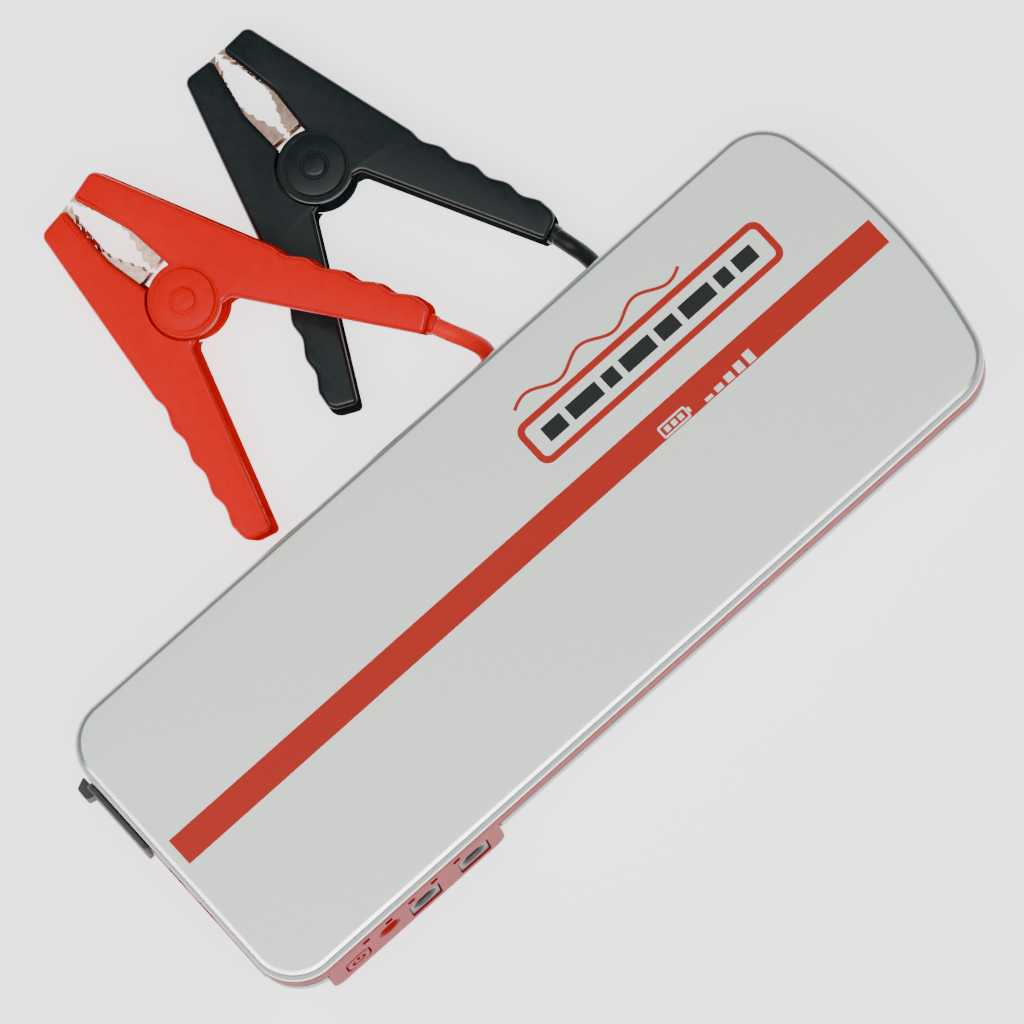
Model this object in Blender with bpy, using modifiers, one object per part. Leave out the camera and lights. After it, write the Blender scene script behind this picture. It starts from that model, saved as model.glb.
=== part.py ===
"""Slim car jump starter pack with its two battery clamps, laid out flat.

Frame: origin at the centre of the pack's underside, +X along the pack to its curved end,
+Y to the long side that the clamps lie beside, +Z up.  All lengths are metres.
"""

from math import asin, atan2, cos, pi, radians, sin, sqrt

import bmesh
import bpy
from mathutils import Matrix, Vector

MM = 0.001
GAP = 0.3 * MM

# Pack
LENGTH = 230 * MM
WIDTH = 85 * MM
HEIGHT = 29 * MM
WALL = 1.6 * MM
END_ARC = 140 * MM
NEAR_CORNER = 12 * MM
FAR_CORNER = 13 * MM
RIM_ROUND = 2.0 * MM
HULL_INSET = 14 * MM
COVER_LOW = 24.0 * MM
FRAME_HIGH = 23.7 * MM
FRAME_LOW = 17.5 * MM
HULL_HIGH = 17.2 * MM
FRAME_INSET = 0.25 * MM
FRAME_WALL = 2.4 * MM

# Port block on the long side: its two ends along X, and its foot
BLOCK_X0 = -104.0 * MM
BLOCK_X1 = -50.0 * MM
BLOCK_FOOT = 0.6 * MM
BLOCK_DEEP = 11.5 * MM
NOTCH_GAP = 0.5 * MM
# Port block on the short end: its two ends along Y
END_Y0 = -29.5 * MM
END_Y1 = 34.0 * MM

BUTTON_X = -95.7 * MM
BUTTON_Z = 8.9 * MM
BUTTON_W = 7.0 * MM
BUTTON_H = 8.6 * MM
TORCH_X = -85.4 * MM
TORCH_Z = 12.4 * MM
TORCH_R = 2.7 * MM
JACK_XS = (-74.4 * MM, -59.0 * MM)
JACK_Z = 8.7 * MM
JACK_W = 9.3 * MM
JACK_H = 11.0 * MM
USB_YS = (1.6 * MM, -9.6 * MM)
USB_Z = 13.6 * MM
USB_W = 5.8 * MM
USB_H = 12.6 * MM
SOCKET_YS = (15.4 * MM, 25.4 * MM)
SOCKET_Z = 13.6 * MM
SOCKET_BORE = 3.5 * MM
CONTACT_DEEP = 6.0 * MM
CAP_Y0 = 9.6 * MM
CAP_Y1 = 30.8 * MM
CAP_THICK = 1.5 * MM
SCREW_PLACES = [(-88 * MM, -22 * MM), (-88 * MM, 22 * MM), (92 * MM, -22 * MM), (92 * MM, 22 * MM)]

# Clamps, in a clamp's own frame: pivot at the origin, +Y to the jaws, +Z up
HALF_THICK = 5.0 * MM
CHEEK_IN = 3.1 * MM
BACK_SLOPE = 0.2815
GRIP_SLOPE = 0.3524
GRIP_START = -8.0 * MM
BACK_AT_PIVOT = 20.7 * MM
JAW_TIP = 37.9 * MM
HANDLE_END = -48.3 * MM
BACK_WALL = 1.3 * MM
LUG_R = 9.4 * MM
INNER_LUG_R = 8.8 * MM
LUG_CLEAR_R = 9.9 * MM
LUG_STEP = 3.6 * MM
INNER_LUG_IN = 2.2 * MM
INNER_LUG_OUT = 3.3 * MM
PIN_R = 1.5 * MM
PIN_BORE = 1.8 * MM
DISC_R = 7.6 * MM
DISC_THICK = 1.0 * MM
JAW_OUT = 2.8 * MM
JAW_PLATE = 0.9 * MM
SPRING_WIRE = 1.1 * MM
SPRING_R = 3.4 * MM
# Where the lead leaves its handle, and the direction in which it leaves
EXIT_U = 32.2 * MM
EXIT_V = -49.9 * MM
EXIT_AXIS = Vector((0.2501, -0.9682, 0))

LEAD_R = 2.2 * MM
LEAD_STEP = 2.1 * 2 * LEAD_R
LEAD_STRAIGHT = 4 * MM
RELIEF_R = 2.5 * MM
RELIEF_PROUD = 1.4 * MM
PLUG_R = 2.7 * MM
PLUG_LENGTH = 18 * MM
PLUG_PIN_R = 2.0 * MM
PLUG_PIN_LENGTH = 9 * MM

# Where each clamp lies: its pivot, the heading of its jaws from +X, and its roll about the level
# line through its pivot that has the roll heading
CLAMPS = {
    "red": {
        "pivot": (-20.25 * MM, 104.6 * MM, 14.6 * MM),
        "heading": radians(98.1),
        "roll": radians(13.1),
        "roll_heading": radians(286.8),
        "colour": (0.80, 0.02, 0.012, 1.0),
    },
    "black": {
        "pivot": (24.3 * MM, 109.7 * MM, 7.4 * MM),
        "heading": radians(88.7),
        "roll": radians(3.0),
        "roll_heading": radians(271.0),
        "colour": (0.012, 0.016, 0.017, 1.0),
    },
}


# ---------------------------------------------------------------- scene and objects

def clear_scene():
    for old in list(bpy.data.objects):
        bpy.data.objects.remove(old, do_unlink=True)


def new_collection(name):
    made = bpy.data.collections.new(name)
    bpy.context.scene.collection.children.link(made)
    return made


def material(name, colour, roughness, metallic=0.0):
    made = bpy.data.materials.get(name)
    if made:
        return made
    made = bpy.data.materials.new(name)
    made.use_nodes = True
    shader = made.node_tree.nodes["Principled BSDF"]
    shader.inputs["Base Color"].default_value = colour
    shader.inputs["Roughness"].default_value = roughness
    shader.inputs["Metallic"].default_value = metallic
    made.diffuse_color = colour
    return made


def add_object(name, mesh, finish=None, cutter=False):
    made = bpy.data.objects.new(name, mesh)
    (CUTTERS if cutter else PARTS).objects.link(made)
    if cutter:
        made.hide_render = True
        made.display_type = "WIRE"
    if finish:
        mesh.materials.clear()
        mesh.materials.append(finish)
    return made


def mesh_from(bm, name):
    bmesh.ops.recalc_face_normals(bm, faces=bm.faces)
    mesh = bpy.data.meshes.new(name)
    bm.to_mesh(mesh)
    bm.free()
    return mesh


def box(name, low, high, finish=None, cutter=False):
    """An upright box from one corner to the other."""
    bm = bmesh.new()
    size = [b - a for a, b in zip(low, high)]
    middle = [(a + b) / 2 for a, b in zip(low, high)]
    place = Matrix.Translation(middle) @ Matrix.Diagonal((*size, 1.0))
    bmesh.ops.create_cube(bm, size=1.0, matrix=place)
    return add_object(name, mesh_from(bm, name), finish, cutter)


def rod(name, start, end, radius, finish=None, cutter=False, sides=24, end_radius=None):
    """A round bar, or a cone if end_radius is given, between two points."""
    start = Vector(start)
    end = Vector(end)
    axis = end - start
    bm = bmesh.new()
    place = Matrix.Translation((start + end) / 2) @ axis.to_track_quat("Z", "Y").to_matrix().to_4x4()
    last = radius if end_radius is None else end_radius
    bmesh.ops.create_cone(
        bm, cap_ends=True, segments=sides, radius1=radius, radius2=last, depth=axis.length, matrix=place
    )
    return add_object(name, mesh_from(bm, name), finish, cutter)


def to_mesh(curve, finish=None, cutter=False):
    """The curve as a closed mesh in the curve's place; the curve is removed."""
    bpy.context.view_layer.update()
    graph = bpy.context.evaluated_depsgraph_get()
    mesh = bpy.data.meshes.new_from_object(curve.evaluated_get(graph))
    place = curve.matrix_world.copy()
    name = curve.name
    bpy.data.objects.remove(curve, do_unlink=True)
    bm = bmesh.new()
    bm.from_mesh(mesh)
    bmesh.ops.remove_doubles(bm, verts=bm.verts, dist=0.00001)
    bmesh.ops.recalc_face_normals(bm, faces=bm.faces)
    bm.to_mesh(mesh)
    bm.free()
    made = add_object(name, mesh, finish, cutter)
    made.matrix_world = place
    return made


def plate(name, outline, low, high, finish=None, cutter=False):
    """A flat outline in XY, given thickness from low to high along Z."""
    data = bpy.data.curves.new(name, "CURVE")
    data.dimensions = "2D"
    data.fill_mode = "BOTH"
    data.extrude = (high - low) / 2
    spline = data.splines.new("POLY")
    spline.points.add(len(outline) - 1)
    for point, (x, y) in zip(spline.points, outline):
        point.co = (x, y, 0, 1)
    spline.use_cyclic_u = True
    curve = bpy.data.objects.new(name, data)
    CUTTERS.objects.link(curve)
    curve.location.z = (low + high) / 2
    return to_mesh(curve, finish, cutter)


def rounded(corners, steps=4):
    """An outline through corners (x, y, radius), each rounded by an arc of its radius."""
    outline = []
    count = len(corners)
    for i, (x, y, radius) in enumerate(corners):
        here = Vector((x, y))
        before = (Vector(corners[i - 1][:2]) - here).normalized()
        after = (Vector(corners[(i + 1) % count][:2]) - here).normalized()
        if radius <= 0:
            outline.append((x, y))
            continue
        half = before.angle(after) / 2
        middle = here + (before + after).normalized() * (radius / sin(half))
        start = here + before * (radius / (sin(half) / cos(half)))
        end = here + after * (radius / (sin(half) / cos(half)))
        a0 = atan2(start.y - middle.y, start.x - middle.x)
        a1 = atan2(end.y - middle.y, end.x - middle.x)
        sweep = (a1 - a0 + pi) % (2 * pi) - pi
        for k in range(steps + 1):
            a = a0 + sweep * k / steps
            outline.append((middle.x + radius * cos(a), middle.y + radius * sin(a)))
    return outline


def upright_plate(name, outline, face, depth, normal, finish=None, cutter=False):
    """A flat outline stood upright: outline in (along, height), from face inwards by depth."""
    made = plate(name, outline, 0.0, depth, finish, cutter)
    made.data.transform(Matrix.Translation((0, 0, depth / 2)))
    made.matrix_world = Matrix()
    if normal == "-Y":
        turn = Matrix(((1, 0, 0, 0), (0, 0, 1, 0), (0, 1, 0, 0), (0, 0, 0, 1)))
        made.data.transform(Matrix.Translation((0, face, 0)) @ turn)
        made.data.flip_normals()
    else:
        turn = Matrix(((0, 0, 1, 0), (1, 0, 0, 0), (0, 1, 0, 0), (0, 0, 0, 1)))
        made.data.transform(Matrix.Translation((face, 0, 0)) @ turn)
    return made


def boolean(target, tool, operation="DIFFERENCE"):
    """Cuts target by tool, or joins them, at once; a tool that was joined is removed."""
    step = target.modifiers.new(operation.title(), "BOOLEAN")
    step.operation = operation
    step.solver = "EXACT"
    step.object = tool
    apply_all(target)
    bpy.data.objects.remove(tool, do_unlink=True)
    return target


def apply_all(target):
    bpy.context.view_layer.update()
    graph = bpy.context.evaluated_depsgraph_get()
    mesh = bpy.data.meshes.new_from_object(target.evaluated_get(graph))
    target.modifiers.clear()
    target.data = mesh


def cut(target, *tools):
    for tool in tools:
        boolean(target, tool)
    return target


def join(target, *tools):
    for tool in tools:
        boolean(target, tool, "UNION")
    return target


def smooth(target, angle=35):
    target.data.shade_smooth()
    target.data.set_sharp_from_angle(angle=radians(angle))
    return target


# ---------------------------------------------------------------- the pack's outline

def pack_outline(inset, least_corner=4.0 * MM, corner_steps=7, end_steps=10):
    """The pack's plan outline, moved inwards by inset, always with the same number of points."""
    near = max(NEAR_CORNER - inset, least_corner)
    far = max(FAR_CORNER - inset, least_corner)
    side = WIDTH / 2 - inset
    back = -LENGTH / 2 + inset
    arc = END_ARC - inset
    arc_x = LENGTH / 2 - END_ARC
    far_y = side - far
    far_x = arc_x + sqrt((arc - far) ** 2 - far_y**2)
    tangent = asin(far_y / (arc - far))
    points = []
    for k in range(corner_steps + 1):
        a = pi + pi / 2 * k / corner_steps
        points.append((back + near + near * cos(a), -side + near + near * sin(a)))
    for k in range(corner_steps + 1):
        a = -pi / 2 + (pi / 2 - tangent) * k / corner_steps
        points.append((far_x + far * cos(a), -far_y + far * sin(a)))
    for k in range(1, end_steps):
        a = -tangent + 2 * tangent * k / end_steps
        points.append((arc_x + arc * cos(a), arc * sin(a)))
    for k in range(corner_steps + 1):
        a = tangent + (pi / 2 - tangent) * k / corner_steps
        points.append((far_x + far * cos(a), far_y + far * sin(a)))
    for k in range(corner_steps + 1):
        a = pi / 2 + pi / 2 * k / corner_steps
        points.append((back + near + near * cos(a), side - near + near * sin(a)))
    return points


def lofted(name, levels, finish, thickness):
    """A shell of a thickness through outlines, levels of (height, inset), closed at the last one."""
    bm = bmesh.new()
    rings = []
    for height, inset in levels:
        rings.append([bm.verts.new((x, y, height)) for x, y in pack_outline(inset)])
    for lower, upper in zip(rings, rings[1:]):
        for k in range(len(lower)):
            after = (k + 1) % len(lower)
            bm.faces.new((lower[k], lower[after], upper[after], upper[k]))
    bm.faces.new(rings[-1])
    if levels[-1][0] < levels[0][0]:
        bmesh.ops.reverse_faces(bm, faces=bm.faces)
    mesh = bpy.data.meshes.new(name)
    bm.to_mesh(mesh)
    bm.free()
    made = add_object(name, mesh, finish)
    wall = made.modifiers.new("Wall", "SOLIDIFY")
    wall.thickness = thickness
    wall.offset = -1
    wall.use_even_offset = True
    apply_all(made)
    return made


def arc_levels(z0, z1, inset, steps):
    """Heights and insets of a quarter ellipse from (z0, 0) to (z1, inset)."""
    levels = []
    for k in range(steps + 1):
        a = pi / 2 * k / steps
        levels.append((z0 + (z1 - z0) * sin(a), inset * (1 - cos(a))))
    return levels


# ---------------------------------------------------------------- pack housing

def make_top_cover():
    levels = [(COVER_LOW, 0.0)] + arc_levels(HEIGHT - RIM_ROUND, HEIGHT, RIM_ROUND, 4)
    cover = lofted("top_cover", levels, SILVER, WALL)
    return smooth(cover)


def block_outline(a0, a1):
    """The front of a port block, in (along, height), with rounded lower corners."""
    foot = 3.5 * MM
    top = FRAME_LOW + 1.0 * MM
    return rounded([(a0, BLOCK_FOOT, foot), (a1, BLOCK_FOOT, foot), (a1, top, 0), (a0, top, 0)])


def make_side_frame():
    outer = plate("side_frame", pack_outline(FRAME_INSET), FRAME_LOW, FRAME_HIGH, RED)
    side = -WIDTH / 2 + FRAME_INSET
    end = -LENGTH / 2 + FRAME_INSET
    long_block = upright_plate(
        "long_block", block_outline(BLOCK_X0, BLOCK_X1), side, BLOCK_DEEP - FRAME_INSET, "-Y"
    )
    end_block = upright_plate(
        "end_block", block_outline(END_Y0, END_Y1), end, BLOCK_DEEP - FRAME_INSET, "-X"
    )
    join(outer, long_block, end_block)
    inner = plate(
        "inner", pack_outline(FRAME_INSET + FRAME_WALL), FRAME_LOW - MM, FRAME_HIGH + MM, cutter=True
    )
    wall = FRAME_WALL
    thin = 1.5 * MM
    long_room = box(
        "long_room",
        (BLOCK_X0 + thin, side + wall, BLOCK_FOOT + thin),
        (BLOCK_X1 - thin, side + BLOCK_DEEP + 5 * MM, FRAME_HIGH + 2 * MM),
        cutter=True,
    )
    end_room = box(
        "end_room",
        (end + wall, END_Y0 + thin, BLOCK_FOOT + thin),
        (end + BLOCK_DEEP + 5 * MM, END_Y1 - thin, FRAME_HIGH + 2 * MM),
        cutter=True,
    )
    cut(outer, inner, long_room, end_room)
    cut(outer, *port_windows(side, end))
    return smooth(outer)


def port_windows(side, end):
    """The openings in the two port blocks, each longer than the wall it goes through."""
    out = 3 * MM
    deep = FRAME_WALL + 2 * out
    button = rounded_rect(BUTTON_X, BUTTON_Z, BUTTON_W + 2 * GAP, BUTTON_H + 2 * GAP, 2.6 * MM)
    tools = [upright_plate("button_hole", button, side - out, deep, "-Y", cutter=True)]
    tools.append(
        rod("torch_hole", (TORCH_X, side - out, TORCH_Z), (TORCH_X, side + deep, TORCH_Z), TORCH_R,
            cutter=True)
    )
    for x in JACK_XS:
        window = rounded_rect(x, JACK_Z, JACK_W, JACK_H, 0.8 * MM)
        tools.append(upright_plate("jack_window", window, side - out, deep, "-Y", cutter=True))
    for y in USB_YS:
        window = rounded_rect(y, USB_Z, USB_W + 1.0 * MM, USB_H + 1.0 * MM, 0.8 * MM)
        tools.append(upright_plate("usb_window", window, end - out, deep, "-X", cutter=True))
    middle = sum(SOCKET_YS) / 2
    window = rounded_rect(middle, SOCKET_Z, 18.4 * MM, 10.4 * MM, 2.0 * MM)
    tools.append(upright_plate("socket_window", window, end - out, deep, "-X", cutter=True))
    return tools


def rounded_rect(x, z, width, height, radius):
    w = width / 2
    h = height / 2
    return rounded([(x - w, z - h, radius), (x + w, z - h, radius), (x + w, z + h, radius),
                    (x - w, z + h, radius)])


def make_bottom_cover():
    levels = arc_levels(HULL_HIGH, 0.0, HULL_INSET, 8)
    cover = lofted("bottom_cover", levels, SILVER, WALL)
    reach = BLOCK_DEEP + NOTCH_GAP
    side = -WIDTH / 2
    end = -LENGTH / 2
    long_notch = box(
        "long_notch",
        (BLOCK_X0 - NOTCH_GAP, side - 5 * MM, -5 * MM),
        (BLOCK_X1 + NOTCH_GAP, side + reach, HULL_HIGH + 5 * MM),
        cutter=True,
    )
    end_notch = box(
        "end_notch",
        (end - 5 * MM, END_Y0 - NOTCH_GAP, -5 * MM),
        (end + reach, END_Y1 + NOTCH_GAP, HULL_HIGH + 5 * MM),
        cutter=True,
    )
    cut(cover, long_notch, end_notch)
    for x, y in SCREW_PLACES:
        hole = rod("screw_hole", (x, y, -MM), (x, y, WALL + 3 * MM), 2.0 * MM, cutter=True, sides=16)
        cut(cover, hole)
    return smooth(cover)


def make_screws():
    for number, (x, y) in enumerate(SCREW_PLACES, 1):
        name = f"screw_{number}"
        head = rod(name, (x, y, 0.5 * MM), (x, y, 1.9 * MM), 1.6 * MM, STEEL, sides=16)
        shank = rod("shank", (x, y, 1.7 * MM), (x, y, 7.5 * MM), 0.9 * MM, sides=12)
        join(head, shank)
        slot = box("slot", (x - 1.0 * MM, y - 0.25 * MM, 0), (x + 1.0 * MM, y + 0.25 * MM, 0.9 * MM),
                   cutter=True)
        cross = box("cross", (x - 0.25 * MM, y - 1.0 * MM, 0), (x + 0.25 * MM, y + 1.0 * MM, 0.9 * MM),
                    cutter=True)
        cut(head, slot, cross)
        smooth(head)


# ---------------------------------------------------------------- ports and controls

def make_power_button():
    """The button's origin is the middle of its front face, on its line of travel."""
    side = -WIDTH / 2 + FRAME_INSET
    front = side - 0.1 * MM
    outline = rounded_rect(0, 0, BUTTON_W - GAP, BUTTON_H - GAP, 2.3 * MM)
    button = upright_plate("power_button", outline, 0, 3.0 * MM, "-Y", RED)
    flange = box("flange", (-5.2 * MM, 2.9 * MM, -5.4 * MM), (5.2 * MM, 3.9 * MM, 5.4 * MM))
    join(button, flange)
    stem = rod("stem", (0, 3.6 * MM, 0), (0, 5.4 * MM, 0), 1.2 * MM, sides=16)
    join(button, stem)
    ring = rod("ring", (0, -MM, 0), (0, 0.35 * MM, 0), 1.9 * MM, cutter=True, sides=20)
    island = rod("island", (0, -2 * MM, 0), (0, MM, 0), 1.4 * MM, sides=20)
    cut(ring, island)
    cut(button, ring)
    button.location = (BUTTON_X, front, BUTTON_Z)
    return smooth(button)


def make_torch():
    side = -WIDTH / 2 + FRAME_INSET
    lens = rod("torch_lens", (TORCH_X, side + 0.9 * MM, TORCH_Z), (TORCH_X, side + 2.2 * MM, TORCH_Z),
               TORCH_R - GAP, CLEAR, sides=24, end_radius=TORCH_R - GAP)
    smooth(lens)
    cup = rod("torch_reflector", (TORCH_X, side + 2.7 * MM, TORCH_Z), (TORCH_X, side + 6.4 * MM, TORCH_Z),
              3.6 * MM, STEEL, sides=24)
    hollow = rod("hollow", (TORCH_X, side + 2.5 * MM, TORCH_Z), (TORCH_X, side + 5.6 * MM, TORCH_Z),
                 2.9 * MM, cutter=True, sides=24, end_radius=1.2 * MM)
    cut(cup, hollow)
    smooth(cup)


def make_jacks():
    side = -WIDTH / 2 + FRAME_INSET
    for name, x in zip(("input_jack", "output_jack"), JACK_XS):
        jack = box(name, (x - JACK_W / 2 + 0.5 * MM, side + 0.6 * MM, JACK_Z - JACK_H / 2 + 0.5 * MM),
                   (x + JACK_W / 2 - 0.5 * MM, side + 10.0 * MM, JACK_Z + JACK_H / 2 - 0.5 * MM), DARK)
        bore = rod("bore", (x, side, JACK_Z), (x, side + 9.0 * MM, JACK_Z), 3.0 * MM, cutter=True)
        cut(jack, bore)
        pin = rod("pin", (x, side + 2.4 * MM, JACK_Z), (x, side + 9.6 * MM, JACK_Z), 1.0 * MM, sides=12)
        join(jack, pin)
        smooth(jack)


def make_usb_ports():
    end = -LENGTH / 2 + FRAME_INSET
    for number, y in enumerate(USB_YS, 1):
        front = end + 0.9 * MM
        shell = box(f"usb_port_{number}", (front, y - USB_W / 2, USB_Z - USB_H / 2),
                    (front + 10 * MM, y + USB_W / 2, USB_Z + USB_H / 2), STEEL)
        room = box("room", (front - MM, y - USB_W / 2 + 0.5 * MM, USB_Z - USB_H / 2 + 0.5 * MM),
                   (front + 9.2 * MM, y + USB_W / 2 - 0.5 * MM, USB_Z + USB_H / 2 - 0.5 * MM), cutter=True)
        cut(shell, room)
        tongue = box("tongue", (front + 1.0 * MM, y + 0.2 * MM, USB_Z - 5.2 * MM),
                     (front + 9.6 * MM, y + 1.9 * MM, USB_Z + 5.2 * MM))
        join(shell, tongue)
        smooth(shell)


def make_jump_socket():
    end = -LENGTH / 2 + FRAME_INSET
    face = end + FRAME_WALL + GAP
    middle = sum(SOCKET_YS) / 2
    block = box("jump_socket", (face, middle - 10.2 * MM, SOCKET_Z - 6.2 * MM),
                (face + 14 * MM, middle + 10.2 * MM, SOCKET_Z + 6.2 * MM), DARK)
    for y in SOCKET_YS:
        bore = rod("bore", (face - MM, y, SOCKET_Z), (face + 15 * MM, y, SOCKET_Z), SOCKET_BORE,
                   cutter=True)
        cut(block, bore)
    smooth(block)
    for name, y in zip(("socket_contact_positive", "socket_contact_negative"), SOCKET_YS):
        tube = rod(name, (face + CONTACT_DEEP, y, SOCKET_Z), (face + 16 * MM, y, SOCKET_Z),
                   SOCKET_BORE - GAP, BRASS, sides=20)
        bore = rod("bore", (face + CONTACT_DEEP - MM, y, SOCKET_Z), (face + 14.5 * MM, y, SOCKET_Z), 2.6 * MM,
                   cutter=True, sides=20)
        cut(tube, bore)
        smooth(tube)


def make_socket_cap():
    """The rubber cap's origin is on its living hinge, an upright line at the cap's -Y end."""
    outer = -LENGTH / 2 + FRAME_INSET - GAP
    width = CAP_Y1 - CAP_Y0
    outline = rounded_rect(width / 2, 0, width, 14.6 * MM, 2.4 * MM)
    cap = upright_plate("socket_cap", outline, -CAP_THICK, CAP_THICK, "-X", RUBBER)
    middle = sum(SOCKET_YS) / 2 - CAP_Y0
    pad_outline = rounded_rect(middle, 0, 17.0 * MM, 9.0 * MM, 1.8 * MM)
    pad = upright_plate("pad", pad_outline, -0.4 * MM, 1.9 * MM, "-X")
    tab = plate(
        "tab",
        rounded([(0.0, width - 2.6 * MM, 0), (-3.1 * MM, width - 1.9 * MM, 0.8 * MM),
                 (-3.1 * MM, width + 1.7 * MM, 0.8 * MM), (0.0, width + 3.0 * MM, 0.4 * MM),
                 (0.0, width - 1.5 * MM, 0)]),
        -2.6 * MM,
        2.6 * MM,
    )
    tab.location.x = -0.35 * MM
    join(cap, pad, tab)
    cap.location = (outer, CAP_Y0, SOCKET_Z)
    return smooth(cap)


# ---------------------------------------------------------------- inside the pack

def make_inside():
    board = box("control_board", (-97 * MM, -36 * MM, 20.4 * MM), (-62 * MM, 33 * MM, 22.0 * MM), BOARD)
    smooth(board)
    start = -56 * MM
    long = 46 * MM
    for number in range(3):
        x = start + number * (long + 1.2 * MM)
        cell = box(f"cell_{number + 1}", (x, -26 * MM, 3.6 * MM), (x + long, 26 * MM, 15.2 * MM), CELL)
        soften(cell, 1.6 * MM)
    ports = box("port_board", (-102 * MM, -31.2 * MM, 3.5 * MM), (-52.8 * MM, -30.0 * MM, 17.0 * MM), BOARD)
    smooth(ports)
    switch = box("button_switch", (BUTTON_X - 3 * MM, -35.4 * MM, BUTTON_Z - 3 * MM),
                 (BUTTON_X + 3 * MM, -31.5 * MM, BUTTON_Z + 3 * MM), DARK)
    smooth(switch)
    pad = box("foam_pad", (start, -25 * MM, 15.6 * MM), (start + 3 * long, 25 * MM, 21.0 * MM), FOAM)
    smooth(pad)
    for name, y in (("busbar_positive", 29 * MM), ("busbar_negative", -29 * MM)):
        bar = box(name, (-50 * MM, y - 1.0 * MM, 10 * MM), (start + 3 * long, y + 1.0 * MM, 15 * MM), BRASS)
        smooth(bar)


def soften(target, width, segments=2):
    edge = target.modifiers.new("Edges", "BEVEL")
    edge.width = width
    edge.segments = segments
    apply_all(target)
    return smooth(target)


# ---------------------------------------------------------------- clamps

def back_u(v):
    """The back line of a half, as a distance from the clamp's middle line; it bends at the grip."""
    if v > GRIP_START:
        return BACK_AT_PIVOT - BACK_SLOPE * v
    return BACK_AT_PIVOT - BACK_SLOPE * GRIP_START + GRIP_SLOPE * (GRIP_START - v)


def half_outline(side):
    """The outline of one half, in the clamp's frame; side is 1 for the lead's half, -1 for the other."""
    arc_steps = 3
    first = -43.0 * MM
    corners = [
        (1.7 * MM, JAW_TIP - 0.5 * MM, 1.0 * MM),
        (4.6 * MM, 21.0 * MM, 12 * MM),
        (4.0 * MM, 9.0 * MM, 1.0 * MM),
        (2.0 * MM, 4.0 * MM, 0),
        (2.0 * MM, -7.0 * MM, 0),
        (7.6 * MM, -8.4 * MM, 2.0 * MM),
        (29.6 * MM, HANDLE_END - 3.0 * MM, 1.4 * MM),
        (35.9 * MM, HANDLE_END, 3.2 * MM),
        (back_u(first), first, 0),
        (back_u(GRIP_START), GRIP_START, 0),
        (back_u(JAW_TIP), JAW_TIP, 2.4 * MM),
    ]
    outline = rounded(corners, arc_steps)
    tip_arc = outline[-arc_steps - 1:]
    outline = outline[:-arc_steps - 3]
    waves = 4
    steps = waves * 6
    for k in range(steps + 1):
        v = first + (GRIP_START - first) * k / steps
        dip = 0.5 * MM * (1 - cos(2 * pi * waves * k / steps))
        outline.append((back_u(v) - dip, v))
    outline += tip_arc
    if side < 0:
        outline = [(-u, v) for u, v in reversed(outline)]
    return outline


def make_half(name, side, finish, has_outer_lugs):
    """One plastic half: two cheeks and a back wall, open on its inner side, and its lugs."""
    half = plate(name, half_outline(side), -HALF_THICK, HALF_THICK, finish)
    room = plate("room", channel_outline(side, BACK_WALL), -CHEEK_IN, CHEEK_IN, cutter=True)
    cut(half, room)
    if has_outer_lugs:
        mouth = Vector((EXIT_U, EXIT_V, 0))
        exit_hole = rod("exit_hole", mouth - EXIT_AXIS * 8 * MM, mouth + EXIT_AXIS * 6 * MM, RELIEF_R + GAP,
                        cutter=True)
        cut(half, exit_hole)
        for sign in (-1, 1):
            low, high = sorted((sign * LUG_STEP, sign * HALF_THICK))
            lug = rod("lug", (0, 0, low), (0, 0, high), LUG_R, sides=40)
            join(half, lug)
        clear = rod("clear", (0, 0, -LUG_STEP), (0, 0, LUG_STEP), LUG_CLEAR_R, cutter=True, sides=40)
        cut(half, clear)
    else:
        clear = rod("clear", (0, 0, -HALF_THICK - MM), (0, 0, HALF_THICK + MM), LUG_CLEAR_R, cutter=True,
                    sides=40)
        cut(half, clear)
        for sign in (-1, 1):
            low, high = sorted((sign * INNER_LUG_IN, sign * INNER_LUG_OUT))
            lug = rod("lug", (0, 0, low), (0, 0, high), INNER_LUG_R, sides=32)
            arm_outline = [(0, -6 * MM), (side * 15 * MM, -9 * MM), (side * 14.5 * MM, 7 * MM), (0, 6 * MM)]
            if side < 0:
                arm_outline.reverse()
            arm = plate("arm", arm_outline, low, high)
            join(lug, arm)
            join(half, lug)
    bore = rod("bore", (0, 0, -HALF_THICK - MM), (0, 0, HALF_THICK + MM), PIN_BORE, cutter=True, sides=20)
    cut(half, bore)
    smooth(half, 40)
    return half


def channel_outline(side, wall):
    """The hollow between a half's cheeks: from its back wall out past its open inner side."""
    tip = JAW_TIP - 3.0 * MM
    low = HANDLE_END + 2.7 * MM
    corners = [
        (back_u(tip) - wall, tip),
        (3.8 * MM, tip),
        (3.8 * MM, JAW_TIP + MM),
        (-6 * MM, JAW_TIP + MM),
        (-6 * MM, -8 * MM),
        (8 * MM, low - 3 * MM),
        (24.5 * MM, low - 4 * MM),
        (back_u(low) - wall - 1.6 * MM, low),
        (back_u(-16 * MM) - wall - 1.0 * MM, -16 * MM),
        (back_u(-9 * MM) - wall - 1.0 * MM, -9 * MM),
        (back_u(-6 * MM) - wall, -6 * MM),
    ]
    if side > 0:
        corners.reverse()
        return corners
    return [(-u, v) for u, v in corners]


def tooth_edge(side, count=9):
    """The toothed edge of a metal jaw, from its tip to its root."""
    tip = JAW_TIP - 0.2 * MM
    root = 11.5 * MM
    points = []
    for k in range(2 * count + 1):
        part = k / (2 * count)
        v = tip + (root - tip) * part
        gape = 0.35 * MM + 3.3 * MM * sin(pi * min(1.0, part * 1.06)) ** 1.3
        depth = 0.8 * MM if k % 2 else 0.0
        points.append((side * (gape + depth), v))
    return points


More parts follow.
